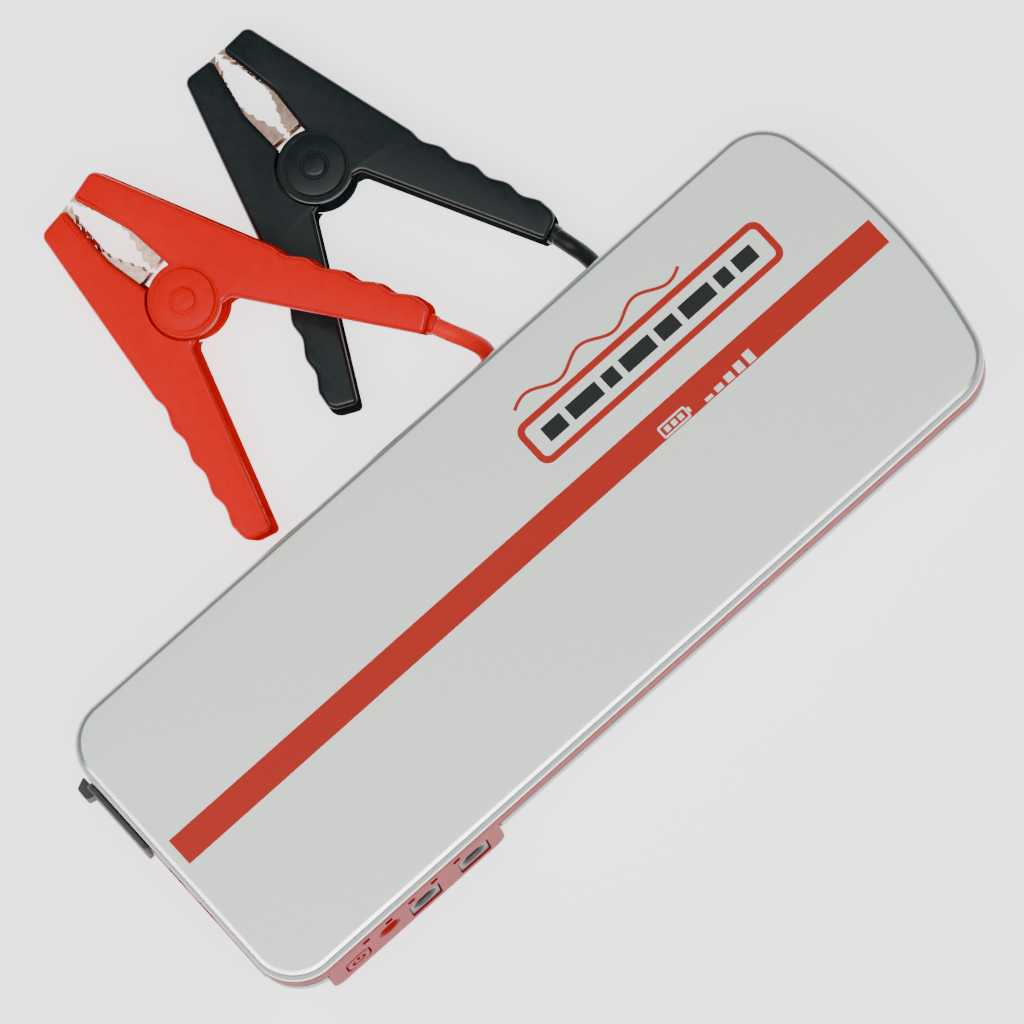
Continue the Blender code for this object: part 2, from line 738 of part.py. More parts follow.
def make_jaw(name, side, finish):
    """A metal jaw: two toothed side walls joined by a web at their back."""
    teeth = tooth_edge(side)
    back = [(side * (back_u(11.5 * MM) - 3.0 * MM), 11.5 * MM),
            (side * (back_u(JAW_TIP) - 2.9 * MM), JAW_TIP - 3.6 * MM),
            (side * 3.4 * MM, JAW_TIP - 3.6 * MM),
            (side * 2.2 * MM, JAW_TIP - 0.2 * MM)]
    outline = teeth + back
    if side > 0:
        outline = list(reversed(outline))
    jaw = plate(name, outline, -JAW_OUT, JAW_OUT, finish)
    inner_back = side * (back_u(11.5 * MM) - 4.0 * MM)
    tip_back = side * (back_u(JAW_TIP) - 3.9 * MM)
    room_outline = [(inner_back, 10.5 * MM), (tip_back, JAW_TIP - 3.6 * MM), (side * 3.0 * MM, JAW_TIP + MM),
                    (-side * 3 * MM, JAW_TIP + MM), (-side * 3 * MM, 10.5 * MM)]
    room = plate("room", room_outline, -JAW_OUT + JAW_PLATE, JAW_OUT - JAW_PLATE, cutter=True)
    cut(jaw, room)
    smooth(jaw)
    return jaw


def make_pin(name):
    """The pivot pin, with a domed head at each end."""
    reach = HALF_THICK + GAP + DISC_THICK
    pin = rod(name, (0, 0, -reach - GAP), (0, 0, reach + GAP), PIN_R, STEEL, sides=20)
    for sign in (-1, 1):
        low = sign * (reach + 0.2 * MM)
        head = rod("head", (0, 0, low), (0, 0, low + sign * 0.6 * MM), 2.95 * MM, sides=24,
                   end_radius=2.5 * MM)
        join(pin, head)
    return smooth(pin)


def make_hub_disc(name, sign, finish):
    low = HALF_THICK + 0.25 * MM
    disc = rod(name, (0, 0, sign * low), (0, 0, sign * (low + DISC_THICK)), DISC_R, finish, sides=40)
    bore = rod("bore", (0, 0, sign * (low - MM)), (0, 0, sign * (low + 3 * MM)), PIN_BORE, cutter=True,
               sides=20)
    cut(disc, bore)
    return smooth(disc)


def wire(name, points, radius, finish, sides=2, place=None):
    """A round wire through points, with filled ends."""
    data = bpy.data.curves.new(name, "CURVE")
    data.dimensions = "3D"
    data.bevel_depth = radius
    data.bevel_resolution = sides
    data.use_fill_caps = True
    spline = data.splines.new("POLY")
    spline.points.add(len(points) - 1)
    for point, place_at in zip(spline.points, points):
        point.co = (*place_at, 1)
    made = bpy.data.objects.new(name, data)
    PARTS.objects.link(made)
    data.materials.append(finish)
    if place:
        made.matrix_world = place
    return made


def spring_points():
    """Two turns about the pin, with a leg into each handle."""
    turns = 2.0
    per_turn = 14
    spread = 2.5 * MM
    start = radians(-73)
    points = []
    leg = 15 * MM
    count = int(turns * per_turn)
    sweep = 2 * pi * turns - radians(34)
    first = Vector((SPRING_R * cos(start), SPRING_R * sin(start), -spread / 2))
    away = Vector((sin(start), -cos(start), 0))
    points.append(first + away * leg * -1 if away.y > 0 else first + away * leg)
    for k in range(count + 1):
        a = start + sweep * k / count
        points.append(Vector((SPRING_R * cos(a), SPRING_R * sin(a), -spread / 2 + spread * k / count)))
    last = start + sweep
    away = Vector((-sin(last), cos(last), 0))
    points.append(points[-1] + (away if away.y < 0 else -away) * leg)
    return points


def clamp_place(spec):
    """The clamp's place in the pack's frame: turned to its heading, rolled, and lifted."""
    lie = Matrix.Rotation(spec["heading"] - pi / 2, 4, "Z")
    axis = Vector((cos(spec["roll_heading"]), sin(spec["roll_heading"]), 0))
    roll = Matrix.Rotation(spec["roll"], 4, axis)
    return Matrix.Translation(spec["pivot"]) @ roll @ lie


def lead_route(colour):
    """The lead's own route points, chosen by hand, from the clamp's handle to its plug."""
    if colour == "red":
        route = [(22.3, 51.2, 17.2), (24.1, 48.2, 11.6), (23.4, 46.1, 6.2), (19.5, 45.0, 3.2),
                 (12.0, 44.1, 2.3), (0.0, 43.9, 2.25), (-20.0, 43.8, 2.25), (-38.0, 44.3, 2.25),
                 (-62.0, 46.2, 2.25), (-74.0, 46.0, 2.35), (-82.0, 45.4, 2.7)]
    else:
        route = [(57.6, 50.6, 6.8), (58.0, 47.0, 3.7), (56.4, 43.2, 2.4), (51.5, 40.6, 2.25),
                 (44.0, 39.6, 2.25), (30.0, 39.4, 2.25), (14.0, 39.1, 2.25), (-12.0, 38.9, 2.25),
                 (-36.0, 39.3, 2.25), (-46.0, 40.1, 2.4), (-53.5, 40.2, 2.6)]
    return [Vector(p) * MM for p in route]


def smooth_route(points, spacing):
    """Points at an even spacing along a centripetal Catmull-Rom curve through the route."""
    ends = [points[0] * 2 - points[1]] + points + [points[-1] * 2 - points[-2]]
    dense = []
    for i in range(1, len(ends) - 2):
        p = ends[i - 1:i + 3]
        t = [0.0]
        for a, b in zip(p, p[1:]):
            t.append(t[-1] + sqrt((b - a).length))
        for k in range(24):
            u = t[1] + (t[2] - t[1]) * k / 24
            a1 = p[0] * ((t[1] - u) / (t[1] - t[0])) + p[1] * ((u - t[0]) / (t[1] - t[0]))
            a2 = p[1] * ((t[2] - u) / (t[2] - t[1])) + p[2] * ((u - t[1]) / (t[2] - t[1]))
            a3 = p[2] * ((t[3] - u) / (t[3] - t[2])) + p[3] * ((u - t[2]) / (t[3] - t[2]))
            b1 = a1 * ((t[2] - u) / (t[2] - t[0])) + a2 * ((u - t[0]) / (t[2] - t[0]))
            b2 = a2 * ((t[3] - u) / (t[3] - t[1])) + a3 * ((u - t[1]) / (t[3] - t[1]))
            dense.append(b1 * ((t[2] - u) / (t[2] - t[1])) + b2 * ((u - t[1]) / (t[2] - t[1])))
    dense.append(points[-1])
    total = sum((b - a).length for a, b in zip(dense, dense[1:]))
    count = max(2, round(total / spacing))
    step = total / count
    result = [dense[0]]
    walked = 0.0
    for a, b in zip(dense, dense[1:]):
        piece = (b - a).length
        while walked + piece >= step * len(result) and len(result) < count:
            result.append(a.lerp(b, (step * len(result) - walked) / piece))
        walked += piece
    result.append(dense[-1])
    return result


def make_clamp(colour, spec):
    finish = material(f"{colour}_plastic", spec["colour"], 0.35)
    place = clamp_place(spec)
    lead_side = 1
    pieces = [
        make_half(f"{colour}_fixed_handle", lead_side, finish, True),
        make_half(f"{colour}_moving_handle", -lead_side, finish, False),
        make_jaw(f"{colour}_fixed_jaw", lead_side, COPPER),
        make_jaw(f"{colour}_moving_jaw", -lead_side, COPPER),
        make_pin(f"{colour}_pivot_pin"),
        make_hub_disc(f"{colour}_hub_disc_upper", 1, finish),
        make_hub_disc(f"{colour}_hub_disc_lower", -1, finish),
        make_crimp(f"{colour}_crimp"),
        make_relief(f"{colour}_strain_relief", finish),
    ]
    for piece in pieces:
        piece.matrix_world = place @ piece.matrix_world
    wire(f"{colour}_spring", spring_points(), SPRING_WIRE / 2, STEEL, 1, place)
    make_lead(colour, place, finish)


def make_crimp(name):
    """The tinned crimp barrel that grips the lead's strands, inside the lead's handle."""
    start = Vector((EXIT_U - 1.4 * MM, EXIT_V, 0)) - EXIT_AXIS * 20 * MM
    barrel = rod(name, start, start + EXIT_AXIS * 9 * MM, 1.5 * MM, STEEL, sides=16)
    return smooth(barrel)


def make_relief(name, finish):
    """The grommet that holds the lead in the end wall of its handle."""
    mouth = Vector((EXIT_U, EXIT_V, 0))
    grommet = rod(name, mouth - EXIT_AXIS * 7.0 * MM, mouth + EXIT_AXIS * RELIEF_PROUD, RELIEF_R, finish,
                  sides=20)
    return smooth(grommet)


def make_lead(colour, place, finish):
    mouth = Vector((EXIT_U, EXIT_V, 0)) + EXIT_AXIS * (RELIEF_PROUD + GAP)
    route = [place @ (mouth + EXIT_AXIS * LEAD_STRAIGHT)] + lead_route(colour)
    points = smooth_route(route, LEAD_STEP)
    points.insert(0, place @ mouth)
    wire(f"{colour}_lead", points, LEAD_R, finish, 2)
    heading = (points[-1] - points[-2]).normalized()
    heading.z = 0
    heading.normalize()
    tail = points[-1].copy()
    tail.z = PLUG_R + 0.05 * MM
    shell_start = tail + heading * 0.3 * MM
    shell = rod(f"{colour}_plug_shell", shell_start, shell_start + heading * PLUG_LENGTH, PLUG_R, finish,
                sides=24)
    pin_start = shell_start + heading * (PLUG_LENGTH + GAP)
    pin = rod(f"{colour}_plug_pin", pin_start, pin_start + heading * PLUG_PIN_LENGTH, PLUG_PIN_R, BRASS,
              sides=20, end_radius=PLUG_PIN_R - 0.4 * MM)
    smooth(shell)
    smooth(pin)


clear_scene()
PARTS = new_collection("jump_starter_pack")
CUTTERS = new_collection("cutters")
SILVER = material("silver_paint", (0.62, 0.65, 0.63, 1.0), 0.38, 0.6)
RED = material("red_frame", (0.45, 0.06, 0.07, 1.0), 0.4)
DARK = material("dark_plastic", (0.03, 0.03, 0.03, 1.0), 0.5)
RUBBER = material("black_rubber", (0.02, 0.022, 0.022, 1.0), 0.7)
STEEL = material("steel", (0.6, 0.6, 0.6, 1.0), 0.3, 1.0)
BRASS = material("brass", (0.75, 0.55, 0.25, 1.0), 0.3, 1.0)
COPPER = material("copper", (0.75, 0.42, 0.28, 1.0), 0.3, 1.0)
CLEAR = material("clear_lens", (0.7, 0.12, 0.1, 1.0), 0.1)
BOARD = material("circuit_board", (0.03, 0.2, 0.08, 1.0), 0.5)
CELL = material("cell_film", (0.2, 0.25, 0.5, 1.0), 0.4)
FOAM = material("foam", (0.1, 0.1, 0.1, 1.0), 0.9)

make_top_cover()
make_side_frame()
make_bottom_cover()
make_screws()
make_power_button()
make_torch()
make_jacks()
make_usb_ports()
make_jump_socket()
make_socket_cap()
make_inside()
for clamp_colour, clamp_spec in CLAMPS.items():
    make_clamp(clamp_colour, clamp_spec)
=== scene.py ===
"""Jump starter pack with its two battery clamps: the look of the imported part, and the view of it.

Lengths are metres in the row frame: origin at the centre of the pack's underside, +X along the
pack to its curved end, +Y to the side that the clamps lie beside, +Z up.
"""

from math import asin, atan2, cos, pi, radians, sin, sqrt

import bmesh
import bpy
from mathutils import Matrix, Vector


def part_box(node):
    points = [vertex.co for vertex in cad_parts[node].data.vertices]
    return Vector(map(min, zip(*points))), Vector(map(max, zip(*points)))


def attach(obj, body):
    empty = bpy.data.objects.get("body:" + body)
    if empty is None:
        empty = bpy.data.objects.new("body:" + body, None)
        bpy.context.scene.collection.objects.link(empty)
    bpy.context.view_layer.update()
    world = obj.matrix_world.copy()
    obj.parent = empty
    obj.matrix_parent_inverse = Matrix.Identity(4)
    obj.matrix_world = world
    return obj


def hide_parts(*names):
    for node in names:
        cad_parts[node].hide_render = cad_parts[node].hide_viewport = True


MM = 0.001
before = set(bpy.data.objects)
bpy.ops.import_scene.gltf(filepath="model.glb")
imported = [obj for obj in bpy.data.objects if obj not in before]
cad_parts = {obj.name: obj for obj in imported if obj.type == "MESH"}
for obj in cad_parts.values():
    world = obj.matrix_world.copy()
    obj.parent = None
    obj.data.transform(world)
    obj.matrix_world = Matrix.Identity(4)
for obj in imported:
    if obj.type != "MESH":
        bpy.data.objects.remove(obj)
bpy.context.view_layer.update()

# Pack, as in the part: its housing
LENGTH = 230 * MM
WIDTH = 85 * MM
HEIGHT = 29 * MM
WALL = 1.6 * MM
END_ARC = 140 * MM
NEAR_CORNER = 12 * MM
FAR_CORNER = 13 * MM
HULL_INSET = 14 * MM
COVER_LOW = 24.0 * MM
FRAME_HIGH = 23.7 * MM
FRAME_LOW = 17.5 * MM
HULL_HIGH = 17.2 * MM
FRAME_INSET = 0.25 * MM
SIDE = -WIDTH / 2 + FRAME_INSET
END = -LENGTH / 2 + FRAME_INSET
SKIN_TOP = HEIGHT - 0.03 * MM  # the cover's flat top; prints rise from it towards HEIGHT
COVER_CORNER_ANGLE = 50  # degrees: sharper corners than this are shaded as edges
SCREW_XS = (-88 * MM, 92 * MM)
SCREW_YS = (-22 * MM, 22 * MM)

# Its port blocks, and what is in them: X along the long side, Y along the end, Z up
BLOCK_X0 = -104.0 * MM
BLOCK_X1 = -50.0 * MM
BLOCK_FOOT = 0.6 * MM
BLOCK_DEEP = 11.5 * MM
BLOCK_FOOT_R = 3.5 * MM
END_Y0 = -29.5 * MM
END_Y1 = 34.0 * MM
BUTTON_X = -95.7 * MM
BUTTON_Z = 8.9 * MM
BUTTON_W = 6.7 * MM
BUTTON_H = 8.3 * MM
BUTTON_R = 2.3 * MM
TORCH_X = -85.4 * MM
TORCH_Z = 12.4 * MM
TORCH_R = 2.7 * MM
JACK_XS = (-74.4 * MM, -59.0 * MM)
JACK_Z = 8.7 * MM
JACK_W = 9.3 * MM
JACK_H = 11.0 * MM
JACK_GAP = 0.3 * MM
JACK_BORE = 3.25 * MM
LAMP_SLOT_X = -91.9 * MM
LAMP_SLOT_PITCH = 7.12 * MM
LAMP_SLOT_Z = 18.3 * MM
LAMP_SLOTS = 5
USB_YS = (1.6 * MM, -9.6 * MM)
USB_Z = 13.6 * MM
USB_W = 5.8 * MM
USB_H = 12.6 * MM
SOCKET_Y = 20.4 * MM
SOCKET_Z = 13.6 * MM
CAP_Y0 = 9.6 * MM
CAP_Y1 = 30.8 * MM
CAP_H = 14.6 * MM
CAP_THICK = 1.5 * MM

# Clamps, in a clamp's own frame: pivot at the origin, +Y to the jaws, +Z up
HALF_THICK = 5.0 * MM
CHEEK_IN = 3.1 * MM
BACK_SLOPE = 0.2815
GRIP_SLOPE = 0.3524
GRIP_START = -8.0 * MM
BACK_AT_PIVOT = 20.7 * MM
JAW_TIP = 37.9 * MM
HANDLE_END = -48.3 * MM
FIRST_WAVE = -43.0 * MM
WAVES = 4
WAVE_DEPTH = 1.0 * MM
BACK_WALL = 1.3 * MM
LUG_R = 9.4 * MM
INNER_LUG_R = 8.8 * MM
LUG_CLEAR_R = 9.9 * MM
LUG_STEP = 3.6 * MM
PIN_BORE = 1.8 * MM
RING_OUTER_R = 8.7 * MM
RING_INNER_R = 8.2 * MM
DISC_GAP = 0.25 * MM
EDGE = 1.3 * MM
LEAD_R = 2.2 * MM
EXIT_HOLE_R = 2.8 * MM
RELIEF_END = 1.7 * MM
EXIT_U = 32.2 * MM
EXIT_V = -49.9 * MM
EXIT_AXIS = Vector((0.2501, -0.9682, 0))

# Where each clamp lies: its pivot in mm, then in degrees the heading of its jaws from +X, its roll,
# and the heading of the level line that it is rolled about
CLAMPS = {
    "red": ((-20.25, 104.6, 14.6), 98.1, 13.1, 286.8),
    "black": ((24.3, 109.7, 7.4), 88.7, 3.0, 271.0),
}


# ---------------------------------------------------------------- materials

def material(name, colour, roughness, metallic=0.0, coat=0.0, specular=0.5):
    """A Principled material of one colour."""
    made = bpy.data.materials.new(name)
    made.use_nodes = True
    shader = made.node_tree.nodes["Principled BSDF"]
    shader.inputs["Base Color"].default_value = (*colour, 1.0)
    shader.inputs["Roughness"].default_value = roughness
    shader.inputs["Metallic"].default_value = metallic
    shader.inputs["Coat Weight"].default_value = coat
    shader.inputs["Coat Roughness"].default_value = 0.12
    shader.inputs["Specular IOR Level"].default_value = specular
    made.diffuse_color = (*colour, 1.0)
    return made


NOISE_LOW = 0.3  # the part of the noise's range that is spread over colour and roughness
NOISE_HIGH = 0.7


def grain(made, scale, bump, spread=0.0, rough=0.0, detail=2.0):
    """Fine noise on a material: a bump of so many metres, a spread of brightness and of roughness."""
    tree = made.node_tree
    nodes, links = tree.nodes, tree.links
    shader = nodes["Principled BSDF"]
    place = nodes.new("ShaderNodeTexCoord")
    noise = nodes.new("ShaderNodeTexNoise")
    noise.inputs["Scale"].default_value = scale
    noise.inputs["Detail"].default_value = detail
    links.new(place.outputs["Object"], noise.inputs["Vector"])
    if bump:
        height = nodes.new("ShaderNodeBump")
        height.inputs["Distance"].default_value = bump
        height.inputs["Strength"].default_value = 1.0
        links.new(noise.outputs["Fac"], height.inputs["Height"])
        links.new(height.outputs["Normal"], shader.inputs["Normal"])
    if spread:
        colour = shader.inputs["Base Color"].default_value[:]
        ramp = nodes.new("ShaderNodeValToRGB")
        ramp.color_ramp.elements[0].position = NOISE_LOW
        ramp.color_ramp.elements[0].color = (*[c * (1 - spread) for c in colour[:3]], 1.0)
        ramp.color_ramp.elements[1].position = NOISE_HIGH
        ramp.color_ramp.elements[1].color = (*[min(1.0, c * (1 + spread)) for c in colour[:3]], 1.0)
        links.new(noise.outputs["Fac"], ramp.inputs["Fac"])
        links.new(ramp.outputs["Color"], shader.inputs["Base Color"])
    if rough:
        base = shader.inputs["Roughness"].default_value
        span = nodes.new("ShaderNodeMapRange")
        span.inputs["From Min"].default_value = NOISE_LOW
        span.inputs["From Max"].default_value = NOISE_HIGH
        span.inputs["To Min"].default_value = base - rough
        span.inputs["To Max"].default_value = base + rough
        links.new(noise.outputs["Fac"], span.inputs["Value"])
        links.new(span.outputs["Result"], shader.inputs["Roughness"])
    return made


SILVER = grain(material("silver_paint", (0.87, 0.975, 0.87), 0.42, 0.15, coat=0.3), 2600, 0.00001, 0.07,
               0.06, 3.0)
HULL = grain(material("silver_hull", (0.42, 0.45, 0.43), 0.5, 0.2), 2200, 0.000008, 0.05, 0.05)
# Painted shade: a darker metallic copy of the silver for the steep band of the top cover's rim
RIM_PAINTED_SHADE = grain(material("silver_painted_shade", (0.25, 0.285, 0.275), 0.30, 1.0), 2600, 0.000004, 0.05, 0.04)
# Painted highlight: a brighter, glossier metallic copy of the silver for the rim's near-flat band, which the
# strip light also lights
RIM_PAINTED_HIGHLIGHT = grain(material("silver_painted_highlight", (0.78, 0.83, 0.80), 0.22, 1.0), 2600, 0.000003, 0.04, 0.04)
RED = grain(material("red_plastic", (0.27, 0.010, 0.015), 0.5, specular=0.12), 1800, 0.000006, 0.04, 0.04)
# Darker red with no sheen: the power sign, and painted shade in the seam under the top cover, the groove
# about the button and the lamp slots
PRINT_AND_SHADE_RED = grain(material("print_and_painted_shade_red", (0.15, 0.004, 0.008), 0.8, specular=0.0), 1800, 0, 0.05)
PRINT_RED = grain(material("print_red", (0.42, 0.011, 0.004), 0.45, specular=0.25), 2200, 0.000003, 0.04)
PRINT_DARK = grain(material("print_dark", (0.010, 0.012, 0.012), 0.5, specular=0.25), 2200, 0.000003, 0.06)
PRINT_WHITE = grain(material("print_white", (0.86, 0.86, 0.85), 0.45), 2200, 0.000003, 0.02)
DARK = grain(material("dark_plastic", (0.035, 0.035, 0.037), 0.45), 1500, 0.000006, 0.06, 0.05)
GREY = grain(material("port_grey", (0.12, 0.125, 0.12), 0.45, specular=0.3), 1500, 0.000006, 0.06, 0.05)
RUBBER = grain(material("cap_rubber", (0.028, 0.032, 0.032), 0.62), 1400, 0.00002, 0.10, 0.06)
STEEL = grain(material("port_steel", (0.62, 0.61, 0.59), 0.26, 1.0), 900, 0.000003, 0.05, 0.06)
SCREW = grain(material("screw_steel", (0.45, 0.45, 0.46), 0.32, 1.0), 1200, 0.000003, 0.05, 0.06)
BRASS = grain(material("contact_brass", (0.78, 0.56, 0.25), 0.26, 1.0), 900, 0.000003, 0.04, 0.05)
COPPER = grain(material("jaw_copper", (0.56, 0.38, 0.29), 0.24, 1.0), 700, 0.000006, 0.10, 0.08)
LENS = grain(material("lens", (0.26, 0.005, 0.004), 0.3, specular=0.0), 700, 0.000004, 0.06)
CHROME = grain(material("reflector", (0.85, 0.85, 0.85), 0.12, 1.0), 500, 0, 0.03)
BOARD = grain(material("circuit_board", (0.03, 0.18, 0.08), 0.5), 900, 0, 0.15)
CELL = grain(material("cell_film", (0.16, 0.22, 0.45), 0.3), 300, 0.00001, 0.06)
FOAM = grain(material("foam", (0.07, 0.07, 0.07), 0.9), 1600, 0.0001, 0.2)
PLASTICS = {
    "red": grain(material("red_clamp_plastic", (0.70, 0.0, 0.0), 0.30, specular=0.05), 450, 0.000012, 0.03,
                 0.04),
    "black": grain(material("black_clamp_plastic", (0.006, 0.011, 0.012), 0.28, specular=0.25), 450, 0.000012,
                   0.08, 0.04),
}
# Darker copies of the same plastics, painted shade: glossier on the rounded edges of the clamp halves, matt
# on their walls
EDGE_SHADE_PLASTICS = {
    "red": grain(material("red_clamp_painted_shade_edge", (0.62, 0.0, 0.0), 0.18, specular=0.4), 450, 0, 0.03),
    "black": grain(material("black_clamp_painted_shade_edge", (0.003, 0.005, 0.006), 0.18, specular=0.5), 450, 0, 0.06),
}
# Painted shade: darker, matt copies of the clamp plastics for the halves' side walls
WALL_SHADE_PLASTICS = {
    "red": grain(material("red_clamp_painted_shade_wall", (0.55, 0.0, 0.0), 0.6, specular=0.0), 450, 0, 0.03),
    "black": grain(material("black_clamp_painted_shade_wall", (0.005, 0.008, 0.009), 0.6, specular=0.0), 450, 0, 0.06),
}
LEADS = {
    "red": grain(material("red_lead_rubber", (0.80, 0.010, 0.006), 0.45, specular=0.15), 1300, 0.000015,
                 0.06, 0.06),
    "black": grain(material("black_lead_rubber", (0.006, 0.009, 0.010), 0.42, specular=0.2), 1300, 0.000015,
                   0.10, 0.06),
}
FLOOR = grain(material("pale_floor", (0.92, 0.925, 0.925), 0.6), 40, 0, 0.004)
FLOOR.node_tree.nodes["Principled BSDF"].inputs["Emission Color"].default_value = (1.0, 1.0, 1.0, 1.0)
FLOOR.node_tree.nodes["Principled BSDF"].inputs["Emission Strength"].default_value = 1.7


# ---------------------------------------------------------------- making pieces

SHAPES = bpy.data.collections.new("look")
bpy.context.scene.collection.children.link(SHAPES)


def add_object(name, mesh, finish=None):
    """An object with this mesh in the look's collection."""
    made = bpy.data.objects.new(name, mesh)
    SHAPES.objects.link(made)
    if finish:
        mesh.materials.clear()
        mesh.materials.append(finish)
    return made


def from_curve(curve, finish=None):
    """The curve as a closed mesh; the curve is removed."""
    bpy.context.view_layer.update()
    graph = bpy.context.evaluated_depsgraph_get()
    mesh = bpy.data.meshes.new_from_object(curve.evaluated_get(graph))
    mesh.transform(curve.matrix_world)
    name = curve.name
    bpy.data.objects.remove(curve, do_unlink=True)
    bm = bmesh.new()
    bm.from_mesh(mesh)
    bmesh.ops.remove_doubles(bm, verts=bm.verts, dist=0.000005)
    bmesh.ops.recalc_face_normals(bm, faces=bm.faces)
    bm.to_mesh(mesh)
    bm.free()
    return add_object(name, mesh, finish)


def plate(name, outlines, low, high, finish=None, edge=0.0, steps=3):
    """A flat shape in XY from one outline, or from several where the later ones are holes, given
    thickness from low to high, its edges rounded by edge."""
    if not isinstance(outlines[0][0], (tuple, list, Vector)):
        outlines = [outlines]
    data = bpy.data.curves.new(name, "CURVE")
    data.dimensions = "2D"
    data.fill_mode = "BOTH"
    data.extrude = (high - low) / 2 - edge
    data.bevel_depth = edge
    data.bevel_resolution = steps
    data.offset = -edge
    for outline in outlines:
        spline = data.splines.new("POLY")
        spline.points.add(len(outline) - 1)
        for point, (x, y) in zip(spline.points, outline):
            point.co = (x, y, 0, 1)
        spline.use_cyclic_u = True
    curve = bpy.data.objects.new(name, data)
    SHAPES.objects.link(curve)
    curve.location.z = (low + high) / 2
    return from_curve(curve, finish)


def rounded(corners, steps=6):
    """An outline through corners (x, y, radius), each rounded by an arc of its radius."""
    outline = []
    count = len(corners)
    for i, (x, y, radius) in enumerate(corners):
        here = Vector((x, y))
        before = (Vector(corners[i - 1][:2]) - here).normalized()
        after = (Vector(corners[(i + 1) % count][:2]) - here).normalized()
        if radius <= 0:
            outline.append((x, y))
            continue
        half = before.angle(after) / 2
        middle = here + (before + after).normalized() * (radius / sin(half))
        start = here + before * (radius / (sin(half) / cos(half)))
        end = here + after * (radius / (sin(half) / cos(half)))
        a0 = atan2(start.y - middle.y, start.x - middle.x)
        a1 = atan2(end.y - middle.y, end.x - middle.x)
        sweep = (a1 - a0 + pi) % (2 * pi) - pi
        for k in range(steps + 1):
            a = a0 + sweep * k / steps
            outline.append((middle.x + radius * cos(a), middle.y + radius * sin(a)))
    return outline


def rounded_rect(x, z, width, height, radius, steps=6):
    """A rectangle's outline about its middle, with rounded corners."""
    w = width / 2
    h = height / 2
    return rounded([(x - w, z - h, radius), (x + w, z - h, radius), (x + w, z + h, radius),
                    (x - w, z + h, radius)], steps)


def circle(x, y, radius, sides=32):
    return [(x + radius * cos(2 * pi * k / sides), y + radius * sin(2 * pi * k / sides))
            for k in range(sides)]


def upright(made, face, normal):
    """Stands a plate made in (along, height, depth) upright on the long side or on the end."""
    if normal == "-Y":
        turn = Matrix(((1, 0, 0, 0), (0, 0, 1, 0), (0, 1, 0, 0), (0, 0, 0, 1)))
        made.data.transform(Matrix.Translation((0, face, 0)) @ turn)
        made.data.flip_normals()
    else:
        turn = Matrix(((0, 0, 1, 0), (1, 0, 0, 0), (0, 1, 0, 0), (0, 0, 0, 1)))
        made.data.transform(Matrix.Translation((face, 0, 0)) @ turn)
    return made


def upright_plate(name, outlines, face, depth, normal, finish=None, edge=0.0):
    """A plate stood upright, from face inwards by depth."""
    return upright(plate(name, outlines, 0.0, depth, finish, edge), face, normal)


def box(name, low, high, finish=None, edge=0.0):
    """A block between two corners, its edges rounded by edge."""
    bm = bmesh.new()
    size = [b - a for a, b in zip(low, high)]
    middle = [(a + b) / 2 for a, b in zip(low, high)]
    place = Matrix.Translation(middle) @ Matrix.Diagonal((*size, 1.0))
    bmesh.ops.create_cube(bm, size=1.0, matrix=place)
    mesh = bpy.data.meshes.new(name)
    bm.to_mesh(mesh)
    bm.free()
    made = add_object(name, mesh, finish)
    if edge:
        round_edges(made, edge)
    return made


def turned(name, start, end, profile, finish=None, sides=48):
    """A round piece about the line from start to end: profile is (distance along, radius)."""
    start = Vector(start)
    axis = (Vector(end) - start).normalized()
    turn = axis.to_track_quat("Z", "Y").to_matrix().to_4x4()
    place = Matrix.Translation(start) @ turn
    bm = bmesh.new()
    rings = []
    for along, radius in profile:
        if radius <= 0:
            rings.append([bm.verts.new(place @ Vector((0, 0, along)))])
            continue
        rings.append([bm.verts.new(place @ Vector((radius * cos(2 * pi * k / sides),
                                                   radius * sin(2 * pi * k / sides), along)))
                      for k in range(sides)])
    for a, b in zip(rings, rings[1:]):
        for k in range(sides):
            after = (k + 1) % sides
            corners = [a[k % len(a)], a[after % len(a)], b[after % len(b)], b[k % len(b)]]
            kept = []
            for corner in corners:
                if corner not in kept:
                    kept.append(corner)
            if len(kept) > 2:
                bm.faces.new(kept)
    for ring in (rings[0], rings[-1]):
        if len(ring) > 2:
            bm.faces.new(ring)
    bmesh.ops.recalc_face_normals(bm, faces=bm.faces)
    mesh = bpy.data.meshes.new(name)
    bm.to_mesh(mesh)
    bm.free()
    return add_object(name, mesh, finish)


def rod(name, start, end, radius, finish=None, sides=48):
    return turned(name, start, end, [(0, radius), ((Vector(end) - Vector(start)).length, radius)], finish,
                  sides)


def apply_all(target):
    """Makes a piece's modifiers part of its mesh."""
    bpy.context.view_layer.update()
    graph = bpy.context.evaluated_depsgraph_get()
    mesh = bpy.data.meshes.new_from_object(target.evaluated_get(graph))
    target.modifiers.clear()
    target.data = mesh
    return target


def boolean(target, tools, operation):
    for tool in tools:
        step = target.modifiers.new(operation.title(), "BOOLEAN")
        step.operation = operation
        step.solver = "EXACT"
        step.object = tool
        apply_all(target)
        bpy.data.objects.remove(tool, do_unlink=True)
    return target


def cut(target, *tools):
    return boolean(target, tools, "DIFFERENCE")


def join(target, *tools):
    return boolean(target, tools, "UNION")


def round_edges(target, width, segments=2, angle=40):
    """Rounds a piece's sharp edges for good."""
    step = target.modifiers.new("Edges", "BEVEL")
    step.width = width
    step.segments = segments
    step.limit_method = "ANGLE"
    step.angle_limit = radians(angle)
    step.harden_normals = False
    step.use_clamp_overlap = True
    return apply_all(target)


def smooth(target, angle=32):
    target.data.shade_smooth()
    target.data.set_sharp_from_angle(angle=radians(angle))
    return target


def finish_piece(piece, body, slot_name, *nodes, angle=32):
    """Shades a piece, lets it ride its body and hides the CAD nodes it stands for; slot_name, the name of its
    finish, is not used.
    """
    if piece.type == "MESH":
        smooth(piece, angle)
    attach(piece, body)
    if nodes:
        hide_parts(*nodes)
    return piece


# ---------------------------------------------------------------- the pack's housing

